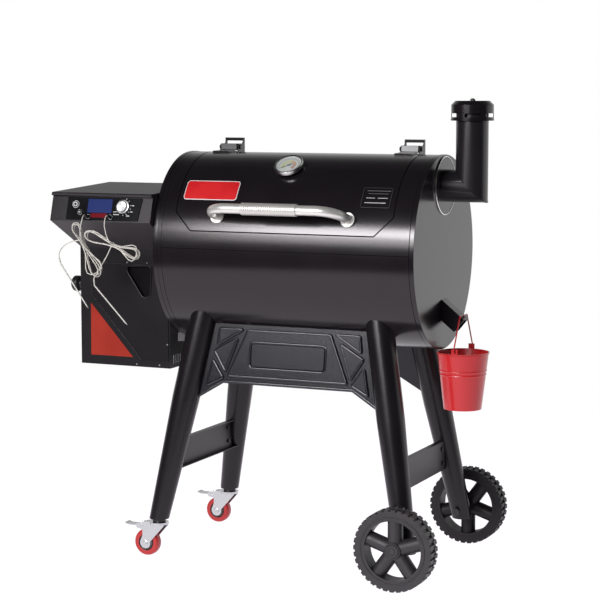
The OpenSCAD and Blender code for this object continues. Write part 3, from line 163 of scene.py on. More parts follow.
def brushedMetal(name, colour, rough, along, lines, depth, **fixed):
    # along stretches the grain lines, so that they run that way
    p = Paint(name, **{"Metallic": 1.0, **fixed})
    where = p.place(scale=along)
    grain = p.noise(where, lines, 3, 0.6)
    cloud = p.noise(p.place(), 18, 2)
    dim = tuple(c * 0.9 for c in colour)
    p.feed({"Base Color": p.blend(p.span(grain, 0.3, 0.7), dim, colour),
            "Roughness": rough + (grain - 0.5) * 0.1 + (cloud - 0.5) * 0.08,
            "Normal": p.bump(grain, depth)})
    return p.mat


def mouldedPlastic(name, dark, light, rough, grainScale, depth, **fixed):
    # a fine grain of this depth, and clouds in shade and gloss
    p = Paint(name, **fixed)
    where = p.place()
    cloud = p.noise(where, 14, 3)
    grain = p.noise(where, grainScale, 2)
    p.feed({"Base Color": p.blend(p.span(cloud, 0.3, 0.7), dark, light),
            "Roughness": rough + (cloud - 0.5) * 0.14,
            "Normal": p.bump(grain, depth)})
    return p.mat


mauve = (1.0, 0.955, 0.985, 1)  # the black paint shines a little pink
slate = (0.96, 0.95, 1.0, 1)  # and the pressed apron a little blue
even = (1, 1, 1)  # grain that runs no way in particular
barrelBlack = powderCoat("barrelBlack", (0.0068, 0.0052, 0.0068), (0.0100, 0.0080, 0.0100), 0.19, 0.00003,
                         420, 0.03, Specular_Tint=mauve)
flueBlack = powderCoat("flueBlack", (0.0105, 0.0092, 0.0112), (0.0145, 0.013, 0.0155), 0.24, 0.00004,
                       420, 0.03, Specular_IOR_Level=0.5, Specular_Tint=mauve)
crossGrey = powderCoat("crossGrey", (0.021, 0.0185, 0.0188), (0.027, 0.0242, 0.0245), 0.40, 0.00008,
                       520, Specular_IOR_Level=0.4, Specular_Tint=mauve)
standBlack = powderCoat("standBlack", (0.0062, 0.0052, 0.0064), (0.0092, 0.0080, 0.0094), 0.27, 0.00006,
                        520, Specular_IOR_Level=0.36, Specular_Tint=mauve)
apronGrey = powderCoat("apronGrey", (0.0072, 0.0066, 0.0088), (0.0115, 0.0108, 0.0138), 0.23, 0.00012,
                       640, Specular_IOR_Level=0.42, Specular_Tint=slate)
ribGloss = powderCoat("ribGloss", (0.0082, 0.0076, 0.0098), (0.0125, 0.0118, 0.0148), 0.17, 0.00003,
                      640, Specular_IOR_Level=0.7, Specular_Tint=slate)
# the access panel's coat is painted darker, as shade under the control panel above
hopperFrontShaded = powderCoat("hopperFrontShaded", (0.0058, 0.0048, 0.0060), (0.0088, 0.0076, 0.0092), 0.40, 0.0001,
                         760, Specular_IOR_Level=0.22, Specular_Tint=mauve)
wellShadeBlack = powderCoat("wellShadeBlack", (0.0024, 0.0019, 0.0026), (0.0036, 0.0030, 0.0038), 0.40, 0.0001,
                       760, Specular_IOR_Level=0.10, Specular_Tint=mauve)
bucketRed = powderCoat("bucketRed", (0.50, 0.012, 0.016), (0.58, 0.018, 0.022), 0.30, 0.00005,
                       380, Coat_Weight=0.3)
ovenBlack = powderCoat("ovenBlack", (0.02, 0.02, 0.021), (0.05, 0.048, 0.046), 0.62, 0.0003, 260, 0.2)
steelGrip = brushedMetal("steelGrip", (0.74, 0.72, 0.685), 0.42, (0.02, 1, 1), 900, 0.00005, Metallic=0.62)
steelTube = brushedMetal("steelTube", (0.86, 0.84, 0.81), 0.34, (8, 1, 1), 900, 0.000003, Metallic=0.66)
steelPlain = brushedMetal("steelPlain", (0.62, 0.61, 0.60), 0.28, (1, 1, 8), 600, 0.00003)
steelRod = brushedMetal("steelRod", (0.56, 0.545, 0.52), 0.5, even, 300, 0.000001, Metallic=0.4)
chromeTrim = brushedMetal("chromeTrim", (0.82, 0.81, 0.80), 0.24, even, 500, 0.00001)
zincPlate = brushedMetal("zincPlate", (0.60, 0.61, 0.62), 0.28, even, 500, 0.000006)
casePlastic = mouldedPlastic("casePlastic", (0.006, 0.006, 0.007), (0.010, 0.010, 0.011), 0.38, 1100, 0.00004)
panelGloss = mouldedPlastic("panelGloss", (0.003, 0.003, 0.0045), (0.005, 0.005, 0.007), 0.26, 1100, 0.00001,
                            Specular_IOR_Level=0.08)
markWhite = mouldedPlastic("markWhite", (0.70, 0.70, 0.70), (0.80, 0.80, 0.80), 0.5, 900, 0.00001)
markRed = mouldedPlastic("markRed", (0.28, 0.022, 0.013), (0.33, 0.028, 0.017), 0.5, 900, 0.00002,
                         Specular_IOR_Level=0.12)
powerSilver = mouldedPlastic("powerSilver", (0.58, 0.58, 0.59), (0.68, 0.68, 0.69), 0.34, 900, 0.00001)
badgeRed = mouldedPlastic("badgeRed", (0.56, 0.014, 0.018), (0.64, 0.020, 0.024), 0.4, 900, 0.00002,
                          Specular_IOR_Level=0.2)
stripRed = mouldedPlastic("stripRed", (0.13, 0.004, 0.010), (0.17, 0.006, 0.013), 0.5, 900, 0.00002,
                          Specular_IOR_Level=0.05)
gasketDark = mouldedPlastic("gasketDark", (0.002, 0.002, 0.002), (0.004, 0.004, 0.004), 0.9, 1600, 0.0002,
                            Specular_IOR_Level=0.05)
galvanised = mouldedPlastic("galvanised", (0.19, 0.185, 0.185), (0.27, 0.262, 0.262), 0.5, 60, 0.0001)
# a dim grey and a pale grey; on the hinge faces they are painted shade and painted light on one kind of plate
dimGreyAndHingeShade = mouldedPlastic("dimGreyAndHingeShade", (0.07, 0.07, 0.075), (0.10, 0.10, 0.105), 0.4, 700, 0.00003)
paleGreyAndLitHinge = mouldedPlastic("paleGreyAndLitHinge", (0.36, 0.36, 0.37), (0.44, 0.44, 0.45), 0.4, 700, 0.00003)
markGrey = mouldedPlastic("markGrey", (0.20, 0.20, 0.205), (0.27, 0.27, 0.275), 0.5, 900, 0.00001)
boltDark = brushedMetal("boltDark", (0.055, 0.053, 0.056), 0.40, even, 500, 0.000006)
print("paints, metals and plastics made")

casterPlace = {"axle": (-0.386, 0, 0.035), "side": 0.207, "cheek": 0.016, "hub": 0.0166, "tread": 0.0215}


def reach(a, b):
    return (a * a + b * b) ** 0.5


def redTreadFinish():
    # red tread outside, a dark ring, then a pale hub, by the distance from the axle
    p = Paint("redTread")
    along, up = p.axes(p.place(shift=casterPlace["axle"]), "XZ")
    far = reach(along, up)
    grain = p.noise(p.place(), 700, 2)
    cloud = p.noise(p.place(), 40, 3)
    red = p.blend(cloud, (0.36, 0.014, 0.014), (0.46, 0.024, 0.024))
    inner = p.blend(far < casterPlace["hub"], (0.008, 0.007, 0.007), (0.25, 0.25, 0.26))
    p.feed({"Base Color": p.blend(far > casterPlace["tread"], inner, red),
            "Roughness": 0.34 + (cloud - 0.5) * 0.16,
            "Normal": p.bump(grain, 0.00004)})
    return p.mat


wheelPlace = {"axle": (0.33581, 0, 0.102), "side": 0.272, "half": 0.0225, "bead": 0.0835, "bolt": 0.0085,
              "beadFade": (0.0008, 0.0018), "boltFade": (0.0006, 0.0014)}


def wheelFinish(name, shadeTone):
    # moulded rings on the face of the wheel, by the distance from the axle; a tone below 1 darkens the
    # farther wheel's colour as painted shade
    p = Paint(name, Specular_IOR_Level=0.5 * shadeTone)
    along, up = p.axes(p.place(shift=wheelPlace["axle"]), "XZ")
    far = reach(along, up)
    cloud = p.noise(p.place(), 14, 3)
    grain = p.noise(p.place(), 900, 2)
    bead, bolt = (p.span((far - wheelPlace[ring]).math("ABSOLUTE"), *wheelPlace[ring + "Fade"], 1.0, 0.0)
                  for ring in ("bead", "bolt"))
    dust = p.span(p.noise(p.place(), 45, 4), 0.45, 0.7)
    shades = (0.0175, 0.0148, 0.0182), (0.0265, 0.0230, 0.0276), (0.035, 0.031, 0.035)
    dark, pale, dusty = (tuple(c * shadeTone for c in shade) for shade in shades)
    base = p.blend(dust * 0.35, p.blend(cloud, dark, pale), dusty)
    p.feed({"Base Color": p.blend(bolt, base, (0.004, 0.004, 0.004)),
            "Roughness": 0.46 + (cloud - 0.5) * 0.14 + dust * 0.08,
            "Normal": p.bump(bead * 8 - bolt * 8 + grain, 0.00007)})
    return p.mat


# fade: along the box, where the painted shade round the panel eases off
hopperForm = {"fold": 0.800, "panelLow": 0.875, "lidLow": 0.941, "front": -0.205, "left": -0.6685,
              "fade": (-0.66, -0.40)}


def hopperFinish():
    # below the fold the box is painted darker, as painted shade under the overhanging panel
    f = hopperForm
    p = Paint("hopperCharcoal", Specular_IOR_Level=0.34, Specular_Tint=mauve)
    where = p.place()
    cloud, skin, grit = p.coatParts(where, 760)
    side, depth, height = p.axes(where, "XYZ")

    def above(level, blur, *ends):
        return p.span(height, f[level] - blur, f[level] + blur, *ends)

    low = above("fold", 0.004, 1.0, 0.0)
    lid = above("lidLow", 0.001)
    # round the control panel the paint is darker, most at the left, as painted shade
    around = above("panelLow", 0.0005) * (1 - lid)
    around = around * (depth < f["front"]) * (side > f["left"]) * p.span(side, *f["fade"], 1.0, 0.25)
    mixing = p.coatMix(cloud, grit)
    upper = p.blend(mixing, (0.0225, 0.0192, 0.0228), (0.030, 0.0265, 0.0304))
    # the painted shade round the panel goes in here, and the lid is made a little darker
    upper = p.blend(around * 0.85 + lid * 0.2, upper, (0.003, 0.0027, 0.0034))
    shadedLower = p.blend(mixing, (0.0052, 0.0046, 0.0056), (0.0078, 0.0072, 0.0084))
    p.feed({"Base Color": p.blend(low, upper, shadedLower),
            "Roughness": 0.46 + (cloud - 0.5) * 0.05 + (grit - 0.5) * 0.05 - low * 0.1 - around * 0.16,
            "Normal": p.bump(skin + grit * 0.25, 0.00012)})
    return p.mat


def spunFinish(name, middle, lean):
    # turned metal: the grain runs round; the two opposite fans where light gathers, and the dark sectors
    # between, are painted highlight and shade in the colour
    p = Paint(name, Metallic=0.85)
    x, y = p.axes(p.place(shift=middle, turn=(math.pi / 2 - lean, 0, 0)), "XY")
    far = reach(x, y)
    turn = x.math("ARCTAN2", y)
    paintedFans = p.span(((turn - 0.9) * 2).math("COSINE"), -0.7, 0.8)
    grain = p.noise(p.add("CombineXYZ", {}, {"X": far * 2600, "Y": turn * 0.4}), 1, 3)
    steel = p.blend(paintedFans, (0.30, 0.30, 0.31), (0.95, 0.94, 0.93))
    p.feed({"Base Color": p.blend(grain * 0.3, steel, (0.5, 0.5, 0.5)),
            "Roughness": 0.34 + grain * 0.12,
            "Normal": p.bump(grain, 0.00001)})
    return p.mat


# ticks: degrees from one to the next, and where between two the ink begins, from 0 midway to 0.5
dialPrint = {"sweep": 140, "fineTicks": (10, 0.31), "coarseTicks": (30, 0.47), "fine": (0.0250, 0.0295),
             "coarse": (0.0228, 0.0295), "band": (0.0105, 0.0205)}


def dialFinish(middle, tilt):
    # pale face, a coloured band and an outer ring of ticks, in the dial's own plane
    f = dialPrint
    p = Paint("dialFace", Roughness=0.42, Coat_Weight=0.4)
    where = p.place(shift=middle, turn=(tilt, 0, 0))
    x, y = p.axes(where, "XY")
    far = reach(x, y)
    swing = x.math("ARCTAN2", y) * (180 / math.pi)  # 0 at the top, 180 at the bottom
    printed = swing.math("ABSOLUTE") < f["sweep"]

    def within(part):
        near, wide = f[part]
        return (far > near) * (far < wide) * printed

    def ticks(kind):
        every, least = f[kind + "Ticks"]
        return ((((swing + 360) / every).math("FRACT") - 0.5).math("ABSOLUTE") > least) * within(kind)

    inked = ticks("fine").math("MAXIMUM", ticks("coarse"))
    cloud = p.noise(where, 60, 3)
    face = p.blend(cloud, (0.55, 0.57, 0.56), (0.63, 0.65, 0.64))
    hot = p.add("ValToRGB", {"stops": [(0.0, (0.42, 0.50, 0.12)), (0.45, (0.62, 0.55, 0.20)),
                                       (0.7, (0.55, 0.28, 0.10)), (1.0, (0.38, 0.12, 0.06))]},
                {"Fac": p.span(swing, -f["sweep"], f["sweep"])})
    face = p.blend(within("band") * 0.85, face, hot)
    p.feed({"Base Color": p.blend(inked, face, (0.03, 0.03, 0.03)),
            "Normal": p.bump(cloud, 0.00002)})
    return p.mat


def displayFinish():
    p = Paint("displayBlue", Roughness=0.12, Coat_Weight=0.6)
    where = p.place()
    rows = p.add("TexWave", {"bands_direction": "Z"}, {"Vector": where, "Scale": 320, "Distortion": 0.0})
    cloud = p.noise(where, 16, 2)
    blue = p.blend(cloud, (0.016, 0.028, 0.115), (0.024, 0.042, 0.17))
    # the faint emission paints a glow on the display
    p.feed({"Base Color": p.blend(rows * 0.2, blue, (0.01, 0.016, 0.07)),
            "Emission Color": blue, "Emission Strength": 0.1})
    return p.mat


def lensFinish():
    p = Paint("gaugeGlass", Roughness=0.04, IOR=1.45)
    smear = p.noise(p.place(), 30, 3)
    p.feed({"Base Color": p.blend(smear, (0.80, 0.84, 0.84), (0.9, 0.93, 0.93)),
            "Alpha": smear * 0.06 + 0.10})
    return p.mat


braid = {"ply": (260, 2), "cross": (520, -5)}  # strands along the cord's length and about it


def braidFinish():
    # two strands wound round each other, along the cord's own UV map
    p = Paint("braidedLead", Metallic=0.35)
    along, about = p.axes(p.add("TexCoord", {}, {}, "UV"), "XY")

    def strands(kind):  # 1 along the middle of a strand, 0 between two
        lengthwise, turns = braid[kind]
        return 1 - ((along * lengthwise + about * turns).math("FRACT") - 0.5).math("ABSOLUTE") * 2

    ridge, weave = strands("ply"), strands("cross")
    cloud = p.noise(p.place(), 180, 3)
    pale = p.blend(cloud, (0.68, 0.65, 0.60), (0.86, 0.83, 0.78))
    # the hollows between the strands are painted dark, as painted shade
    crownShadeMask = p.span(ridge, 0.0, 0.45) * 0.8 + weave * 0.2
    p.feed({"Base Color": p.blend(crownShadeMask, (0.27, 0.25, 0.225), pale),
            "Roughness": 0.5 - weave * 0.15,
            "Normal": p.bump(p.span(ridge, 0.0, 0.8) + weave * 0.3, 0.0004)})
    return p.mat


panelPlace = {"right": -0.360, "front": -0.230, "low": hopperForm["panelLow"], "lean": math.atan(18 / 65),
              "skin": 0.00305, "keyTop": 0.006}
panelSpots = {"knob": (-0.08165, 0.040), "power": (-0.2235, 0.044), "menu": (-0.2092, 0.023),
              "jacks": ((-0.182972, 0.012), (-0.115922, 0.012)), "strip": (-0.1515, 0.0158)}


def panelFrame(x, up, out):
    # local X to the right, Y up the control panel, Z out of it
    f = panelPlace
    c, s = math.cos(f["lean"]), math.sin(f["lean"])
    return Matrix(((1, 0, 0, f["right"] + x), (0, s, -c, f["front"] + s * up - c * out),
                   (0, c, s, f["low"] + c * up + s * out), (0, 0, 0, 1)))


shellForm = {"axisZ": 0.808, "crestR": 0.20704, "crestC": 0.03796, "sideR": 0.2733, "sideC": 0.0543,
             "jointRise": 0.1568, "top": 0.245}


def shellFront(rise):
    # front line of the barrel at a height above its axis, and how far the sheet leans back there
    f = shellForm
    if abs(rise) > f["jointRise"]:
        y = -math.sqrt(max(0, f["crestR"] ** 2 - (abs(rise) - f["crestC"]) ** 2))
        return y, math.copysign(math.atan2(abs(rise) - f["crestC"], -y), rise)
    y = f["sideC"] - math.sqrt(f["sideR"] ** 2 - rise ** 2)
    return y, math.atan2(rise, f["sideC"] - y)


def shellFrame(x, rise, lift=0.0):
    # local X to the right, Y up the sheet, Z out of it
    y, lean = shellFront(rise)
    turn = Matrix.Rotation(math.pi / 2 - lean, 4, "X")
    spot = Matrix.Translation((x, y, shellForm["axisZ"] + rise))
    return spot @ turn @ Matrix.Translation((0, 0, lift))


def shellSpot(x, rise, lift):
    return shellFrame(x, rise, lift).translation


gauge = {"x": -0.016, "rise": 0.208, "lift": 0.004, "depth": 0.013, "across": 0.076, "dial": 0.01,
         "bezelIn": 0.0043, "bezelOut": 0.0024, "lensSunk": 0.001, "bezelTall": 0.0004}
gaugeLean = shellFront(gauge["rise"])[1]
redTread = redTreadFinish()
wheelPlastic = wheelFinish("wheelPlastic", 1.0)
# the rear wheel is the same plastic, painted darker as shade under the barrel
wheelPaintedShade = wheelFinish("wheelPaintedShade", 0.45)
displayBlue = displayFinish()
hopperCharcoal = hopperFinish()
knobSteel = spunFinish("knobSteel", tuple(panelFrame(*panelSpots["knob"], 0).translation), panelPlace["lean"])
gaugeGlass = lensFinish()
braidedLead = braidFinish()
dialFace = dialFinish(tuple(shellSpot(gauge["x"], gauge["rise"], gauge["dial"])), math.pi / 2 - gaugeLean)
print("patterned finishes made")


def clearChoice():
    if bpy.context.object and bpy.context.object.mode != "OBJECT":
        bpy.ops.object.mode_set(mode="OBJECT")
    bpy.ops.object.select_all(action="DESELECT")


def choose(obj):
    clearChoice()
    obj.select_set(True)
    bpy.context.view_layer.objects.active = obj


def addObject(name, data):
    obj = bpy.data.objects.new(name, data)
    bpy.context.scene.collection.objects.link(obj)
    return obj


def startEdit(obj):
    choose(obj)
    bpy.ops.object.mode_set(mode="EDIT")
    bpy.ops.mesh.select_all(action="SELECT")


def endEdit(weld=0.0):
    # merges what lies closer than weld, turns the faces outwards and leaves edit mode
    bpy.ops.mesh.select_all(action="SELECT")
    if weld:
        bpy.ops.mesh.remove_doubles(threshold=weld)
    bpy.ops.mesh.normals_make_consistent(inside=False)
    bpy.ops.object.mode_set(mode="OBJECT")


def soften(obj, width, segments=2, angle=35):
    choose(obj)
    m = obj.modifiers.new("edges", "BEVEL")
    m.width, m.segments, m.limit_method = width, segments, "ANGLE"
    m.angle_limit = math.radians(angle)
    bpy.ops.object.modifier_apply(modifier="edges")


def evenShade(obj, angle):
    # wide flat faces keep their own normal beside small round edges
    choose(obj)
    bpy.ops.object.shade_smooth_by_angle(angle=math.radians(angle))
    m = obj.modifiers.new("even", "WEIGHTED_NORMAL")
    m.mode, m.weight, m.keep_sharp = "FACE_AREA", 100, True
    bpy.ops.object.modifier_apply(modifier="even")


def coat(obj, mat):
    obj.data.materials.clear()
    obj.data.materials.append(mat)


def finishPiece(obj, mat, body, smooth=32):
    choose(obj)
    bpy.ops.object.transform_apply(location=True, rotation=True, scale=True)
    evenShade(obj, smooth)
    coat(obj, mat)
    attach(obj, body)


holed = ("hopper_shell", "access_panel", "control_panel")  # flat faces with holes keep their triangles
nodeCare = {"weld": 0.00002, "flat": 0.6, "sharp": 30, "shade": 35}  # metres, then degrees


def dressNode(name, mat, edge, segments=2):
    # a merged copy of a CAD node with softened edges stands for it
    obj = addObject(name + "_dressed", nodes[name].data.copy())
    startEdit(obj)
    bpy.ops.mesh.customdata_custom_splitnormals_clear()
    bpy.ops.mesh.remove_doubles(threshold=nodeCare["weld"])
    if name not in holed:
        bpy.ops.mesh.dissolve_limited(angle_limit=math.radians(nodeCare["flat"]))
    bpy.ops.object.mode_set(mode="OBJECT")
    if edge:
        soften(obj, edge, segments, nodeCare["sharp"])
    coat(obj, mat)
    evenShade(obj, nodeCare["shade"])
    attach(obj, bodyOf[name])
    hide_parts(name)


# the finish of each node, the width of its softened edges and, where it isn't 2, their segments
legs = ("leg_front_left", "leg_front_right", "leg_rear_left", "leg_rear_right")
dressing = {
    **{leg: (standBlack, 0.0015) for leg in legs},
    "front_apron": (apronGrey, 0.0023, 4), "rear_apron": (apronGrey, 0.0006),
    "left_crossbar": (crossGrey, 0.0006), "right_crossbar": (crossGrey, 0.0006),
    "fasteners": (boltDark, 0.0005),
    "front_wheel": (wheelPlastic, 0.0012), "rear_wheel": (wheelPaintedShade, 0.0012),
    "caster_stems": (boltDark, 0.0004),
    "front_caster_fork": (zincPlate, 0.0006), "rear_caster_fork": (zincPlate, 0.0006),
    "front_caster_wheel": (redTread, 0.0012), "rear_caster_wheel": (redTread, 0.0012),
    "front_caster_brake": (zincPlate, 0.0005), "rear_caster_brake": (zincPlate, 0.0005),
    "barrel_shell": (barrelBlack, 0.0006),
    "left_end_plate": (barrelBlack, 0.0012), "right_end_plate": (barrelBlack, 0.0012),
    "lid": (barrelBlack, 0.0007),
    "lid_handle": (steelTube, 0.0008), "handle_grip": (steelGrip, 0.0005),
    "lid_hinge_leaves": (barrelBlack, 0.0008), "hinge_brackets": (barrelBlack, 0.0008),
    "gauge_case": (chromeTrim, 0.001),
    "flue_pipe": (flueBlack, 0.0012), "flue_cap": (barrelBlack, 0.0012),
    "grease_chute": (barrelBlack, 0.0006), "grease_bucket": (bucketRed, 0.0004),
    "bucket_bail": (bucketRed, 0),
    "hopper_shell": (hopperCharcoal, 0.0008), "hopper_lid": (hopperCharcoal, 0.002),
    "control_panel": (panelGloss, 0.0005), "control_knob": (knobSteel, 0.0006),
    "power_button": (powerSilver, 0.0006), "menu_button": (casePlastic, 0.0006),
    "access_panel": (hopperFrontShaded, 0.0015, 3), "cleanout_knob": (casePlastic, 0.001),
}
for name, look in dressing.items():
    dressNode(name, *look)
print("nodes dressed:", len(dressing))

plain = {"gauge_dial": dialFace, "gauge_needle": casePlastic, "gauge_lens": gaugeGlass,
         "display": displayBlue, "auger_tube": zincPlate, "hopper_funnel": zincPlate,
         "auger_screw": steelPlain, "auger_motor": casePlastic, "fan_housing": zincPlate,
         "fan_wheel": steelPlain, "firepot": ovenBlack, "heat_baffle": ovenBlack, "drip_tray": ovenBlack,
         "cooking_grate": ovenBlack, "probe_plugs": casePlastic, "probe_rods": steelRod}
for name, mat in plain.items():
    coat(nodes[name], mat)


def startMesh(name):
    # the primitive just added gets its name, and its place goes into its mesh
    obj = bpy.context.object
    obj.name = obj.data.name = name
    bpy.ops.object.transform_apply(location=True, rotation=True, scale=True)
    return obj


def flatPiece(name, outline, thick, place=Matrix()):
    # a plate of this outline that stands on the XY plane of its place
    clearChoice()
    bpy.ops.mesh.primitive_circle_add(vertices=len(outline), radius=1, fill_type="NGON")
    obj = startMesh(name)
    for vert, (x, y) in zip(obj.data.vertices, outline):
        vert.co = (x, y, 0)
    startEdit(obj)
    bpy.ops.mesh.extrude_region_move(TRANSFORM_OT_translate={"value": (0, 0, thick)})
    endEdit()
    obj.data.transform(place)
    return obj


def turnedPiece(name, profile, place=Matrix(), *, steps):
    # circles of (radius, height) drawn one from another; a profile that ends where it began is a ring
    clearChoice()
    r, z = profile[0]
    fill = "NOTHING" if profile[0] == profile[-1] else "NGON"
    bpy.ops.mesh.primitive_circle_add(vertices=steps, radius=r, location=(0, 0, z), fill_type=fill)
    obj = startMesh(name)
    startEdit(obj)
    for r2, z2 in profile[1:]:
        bpy.ops.mesh.extrude_region_move(TRANSFORM_OT_translate={"value": (0, 0, z2 - z)})
        bpy.ops.transform.resize(value=(r2 / r, r2 / r, 1), center_override=(0, 0, z2))
        r, z = r2, z2
    endEdit(weld=0.00001)
    obj.data.transform(place)
    return obj


def wrappedPiece(name, spot, cols, rows, thick):
    # a grid laid where spot(u, v) says, u and v from 0 to 1, then thickened outwards
    clearChoice()
    bpy.ops.mesh.primitive_grid_add(x_subdivisions=cols, y_subdivisions=rows, size=2)
    obj = startMesh(name)
    for vert in obj.data.vertices:
        vert.co = spot((vert.co.x + 1) / 2, (vert.co.y + 1) / 2)
    choose(obj)
    m = obj.modifiers.new("sheet", "SOLIDIFY")
    m.thickness, m.offset = thick, 1
    bpy.ops.object.modifier_apply(modifier="sheet")
    return obj


def copyTo(model, places):
    # the model goes to the first place, and a copy with a mesh of its own to each of the others
    pieces = [model] + [addObject(model.name, model.data.copy()) for _ in places[1:]]
    for piece, place in zip(pieces, places):
        piece.data.transform(place)
    return pieces


def joinAll(name, pieces):
    choose(pieces[0])
    for piece in pieces[1:]:
        piece.select_set(True)
    if len(pieces) > 1:
        bpy.ops.object.join()
    pieces[0].name = pieces[0].data.name = name
    return pieces[0]


def turnedPlace(at, quarters, axis):
    return Matrix.Translation(at) @ Matrix.Rotation(quarters * math.pi / 2, 4, axis)


def frontFrame(y):
    # local X to the right, Y up, Z to the front
    return Matrix(((1, 0, 0, 0), (0, 0, -1, y), (0, 1, 0, 0), (0, 0, 0, 1)))


def rectangle(x0, y0, x1, y1, corner=0.0, steps=6):
    if not corner:
        return [(x0, y0), (x1, y0), (x1, y1), (x0, y1)]
    points = []
    for cx, cy, start in ((x1, y0, -90), (x1, y1, 0), (x0, y1, 90), (x0, y0, 180)):
        mx = cx - corner if cx == x1 else cx + corner
        my = cy - corner if cy == y1 else cy + corner
        for i in range(steps + 1):
            a = math.radians(start + 90 * i / steps)
            points.append((mx + corner * math.cos(a), my + corner * math.sin(a)))
    return points


def roundCorners(points, radius, steps=6):
    out = []
    for i, point in enumerate(points):
        here = Vector(point)
        before, after = Vector(points[i - 1]) - here, Vector(points[(i + 1) % len(points)]) - here
        cut = min(radius, before.length * 0.45, after.length * 0.45)  # less than half of either side
        a, b = here + before.normalized() * cut, here + after.normalized() * cut
        for k in range(steps + 1):
            t = k / steps
            out.append(tuple(a * (1 - t) ** 2 + here * 2 * t * (1 - t) + b * t ** 2))
    return out


def ringProfile(inner, outer, tall, edge, base=0.0):
    # a flat ring with both upper corners cut
    shoulder, top = base + tall - edge, base + tall
    return [(inner, base), (outer, base), (outer, shoulder), (outer - edge, top), (inner + edge, top),
            (inner, shoulder), (inner, base)]


def roundBar(name, points, thick, rounding, closed=False):
    line = bpy.data.curves.new(name, "CURVE")
    line.dimensions = "3D"
    line.bevel_depth, line.bevel_resolution, line.use_fill_caps = thick, rounding, True
    spline = line.splines.new("POLY")
    spline.points.add(len(points) - 1)
    for spot, at in zip(spline.points, points):
        spot.co = (*at, 1)
    spline.use_cyclic_u = closed
    return addObject(name, line)


beadSmooth = 60  # degrees


def beadLine(name, points, thick, closed):
    # a round bead along these points, as a mesh
    choose(roundBar(name, points, thick, rounding=4, closed=closed))
    bpy.ops.object.convert(target="MESH")
    return bpy.context.object


def platePatch(name, x0, x1, low, high, corner, lift, thick):
    # a plate with round corners, bent to the barrel's front
    def spot(u, v):
        t = 0.5 - 0.5 * math.cos(v * math.pi)  # rows are closer together at the round corners
        near = min(t, 1 - t) * (high - low)
        short = 0.0
        if near < corner:
            short = corner - math.sqrt(corner ** 2 - (corner - near) ** 2)
        x = x0 + short + (x1 - x0 - 2 * short) * u
        return shellSpot(x, low + (high - low) * t, lift)
    return wrappedPiece(name, spot, cols=20, rows=18, thick=thick)


def rimmedPlate(form, rimName, faceName):
    # a rim close to the lid and a smaller face on top of it
    (x0, x1), (low, high), rim = form["x"], form["rise"], form["rim"]
    outer = platePatch(rimName, x0, x1, low, high, form["corner"], form["lift"], form["thick"])
    inner = platePatch(faceName, x0 + rim, x1 - rim, low + rim, high - rim, form["corner"] - rim,
                       form["thick"], form["faceThick"])
    return outer, inner


badge = {"x": (-0.2850, -0.1340), "rise": (0.1280, 0.1750), "corner": 0.008, "rim": 0.0018, "lift": 0.0002,
         "thick": 0.0008, "faceThick": 0.0005, "edge": 0.0002}
badgeRim, badgeFace = rimmedPlate(badge, "badgeRim", "badgeFace")
soften(badgeRim, badge["edge"], angle=50)
finishPiece(badgeRim, markWhite, "cooking_lid")
finishPiece(badgeFace, badgeRed, "cooking_lid")

# each rule has its height on the plate, its two ends and half its thickness
dataPlate = {"x": (0.207, 0.283), "rise": (0.120, 0.167), "corner": 0.003, "rim": 0.0006, "lift": 0.0002,
             "thick": 0.0005, "faceThick": 0.0003,
             "ruleCorner": 0.0002, "ruleLift": 0.0008, "ruleThick": 0.0002,
             "dataPlateRules": ((0.0395, 0.010, 0.072, 0.0004), (0.033, 0.015, 0.068, 0.0003)),
             "dataPlateBars": ((0.0226, 0.0115, 0.034, 0.00045), (0.0226, 0.042, 0.068, 0.00045),
                               (0.0113, 0.009, 0.065, 0.0006))}
dataRim, dataFace = rimmedPlate(dataPlate, "dataPlateRim", "dataPlateFace")
finishPiece(dataRim, dimGreyAndHingeShade, "cooking_lid")
finishPiece(dataFace, barrelBlack, "cooking_lid")
for name, mat in (("dataPlateRules", markGrey), ("dataPlateBars", markWhite)):
    rules = []
    for up, start, end, half in dataPlate[name]:
        x, rise = dataPlate["x"][0], dataPlate["rise"][0] + up
        rules.append(platePatch("rule", x + start, x + end, rise - half, rise + half, dataPlate["ruleCorner"],
                                dataPlate["ruleLift"], dataPlate["ruleThick"]))
    finishPiece(joinAll(name, rules), mat, "cooking_lid")

lidEdge = {"half": 0.297, "low": 0.052, "cut": 0.046, "cutShare": 0.6, "gap": 0.003, "slack": 0.0004,
           "deep": 0.0024, "thick": 0.0012}


def gasketSpot(u, v):
    # the middle of the gap round the lid: down the left edge, along the bottom, up the right edge
    e = lidEdge
    g = e["gap"] / 2
    half, low, cut = e["half"] + g, e["low"] - g, e["cut"] + g * e["cutShare"]
    top = shellForm["top"] - e["slack"]
    corners = [(-half, top), (-half, low + cut), (-half + cut, low), (half - cut, low), (half, low + cut),
               (half, top)]
    # which way is outwards at each corner
    normals = [(-1, 0), (-0.924, -0.383), (-0.383, -0.924), (0.383, -0.924), (0.924, -0.383), (1, 0)]
    last = len(corners) - 2
    t = u * (last + 1)
    i = min(int(t), last)
    t -= i
    if i in (0, last):  # rows are closer together where the sheet turns over the crest
        t = math.sin(t * math.pi / 2) if i == last else 1 - math.cos(t * math.pi / 2)
    x, rise = (a + (b - a) * t for a, b in zip(corners[i], corners[i + 1]))
    nx, nr = (a + (b - a) * t for a, b in zip(normals[i], normals[i + 1]))
    out = (0.5 - v) * (e["gap"] - e["slack"])
    return shellSpot(x + nx * out, min(rise + nr * out, top), -e["deep"])


# a dark gasket strip set in the gap round the lid, darkened to paint the shade in the gap
gasket = wrappedPiece("lidGasketShade", gasketSpot, cols=200, rows=2, thick=lidEdge["thick"])
finishPiece(gasket, gasketDark, "grill")

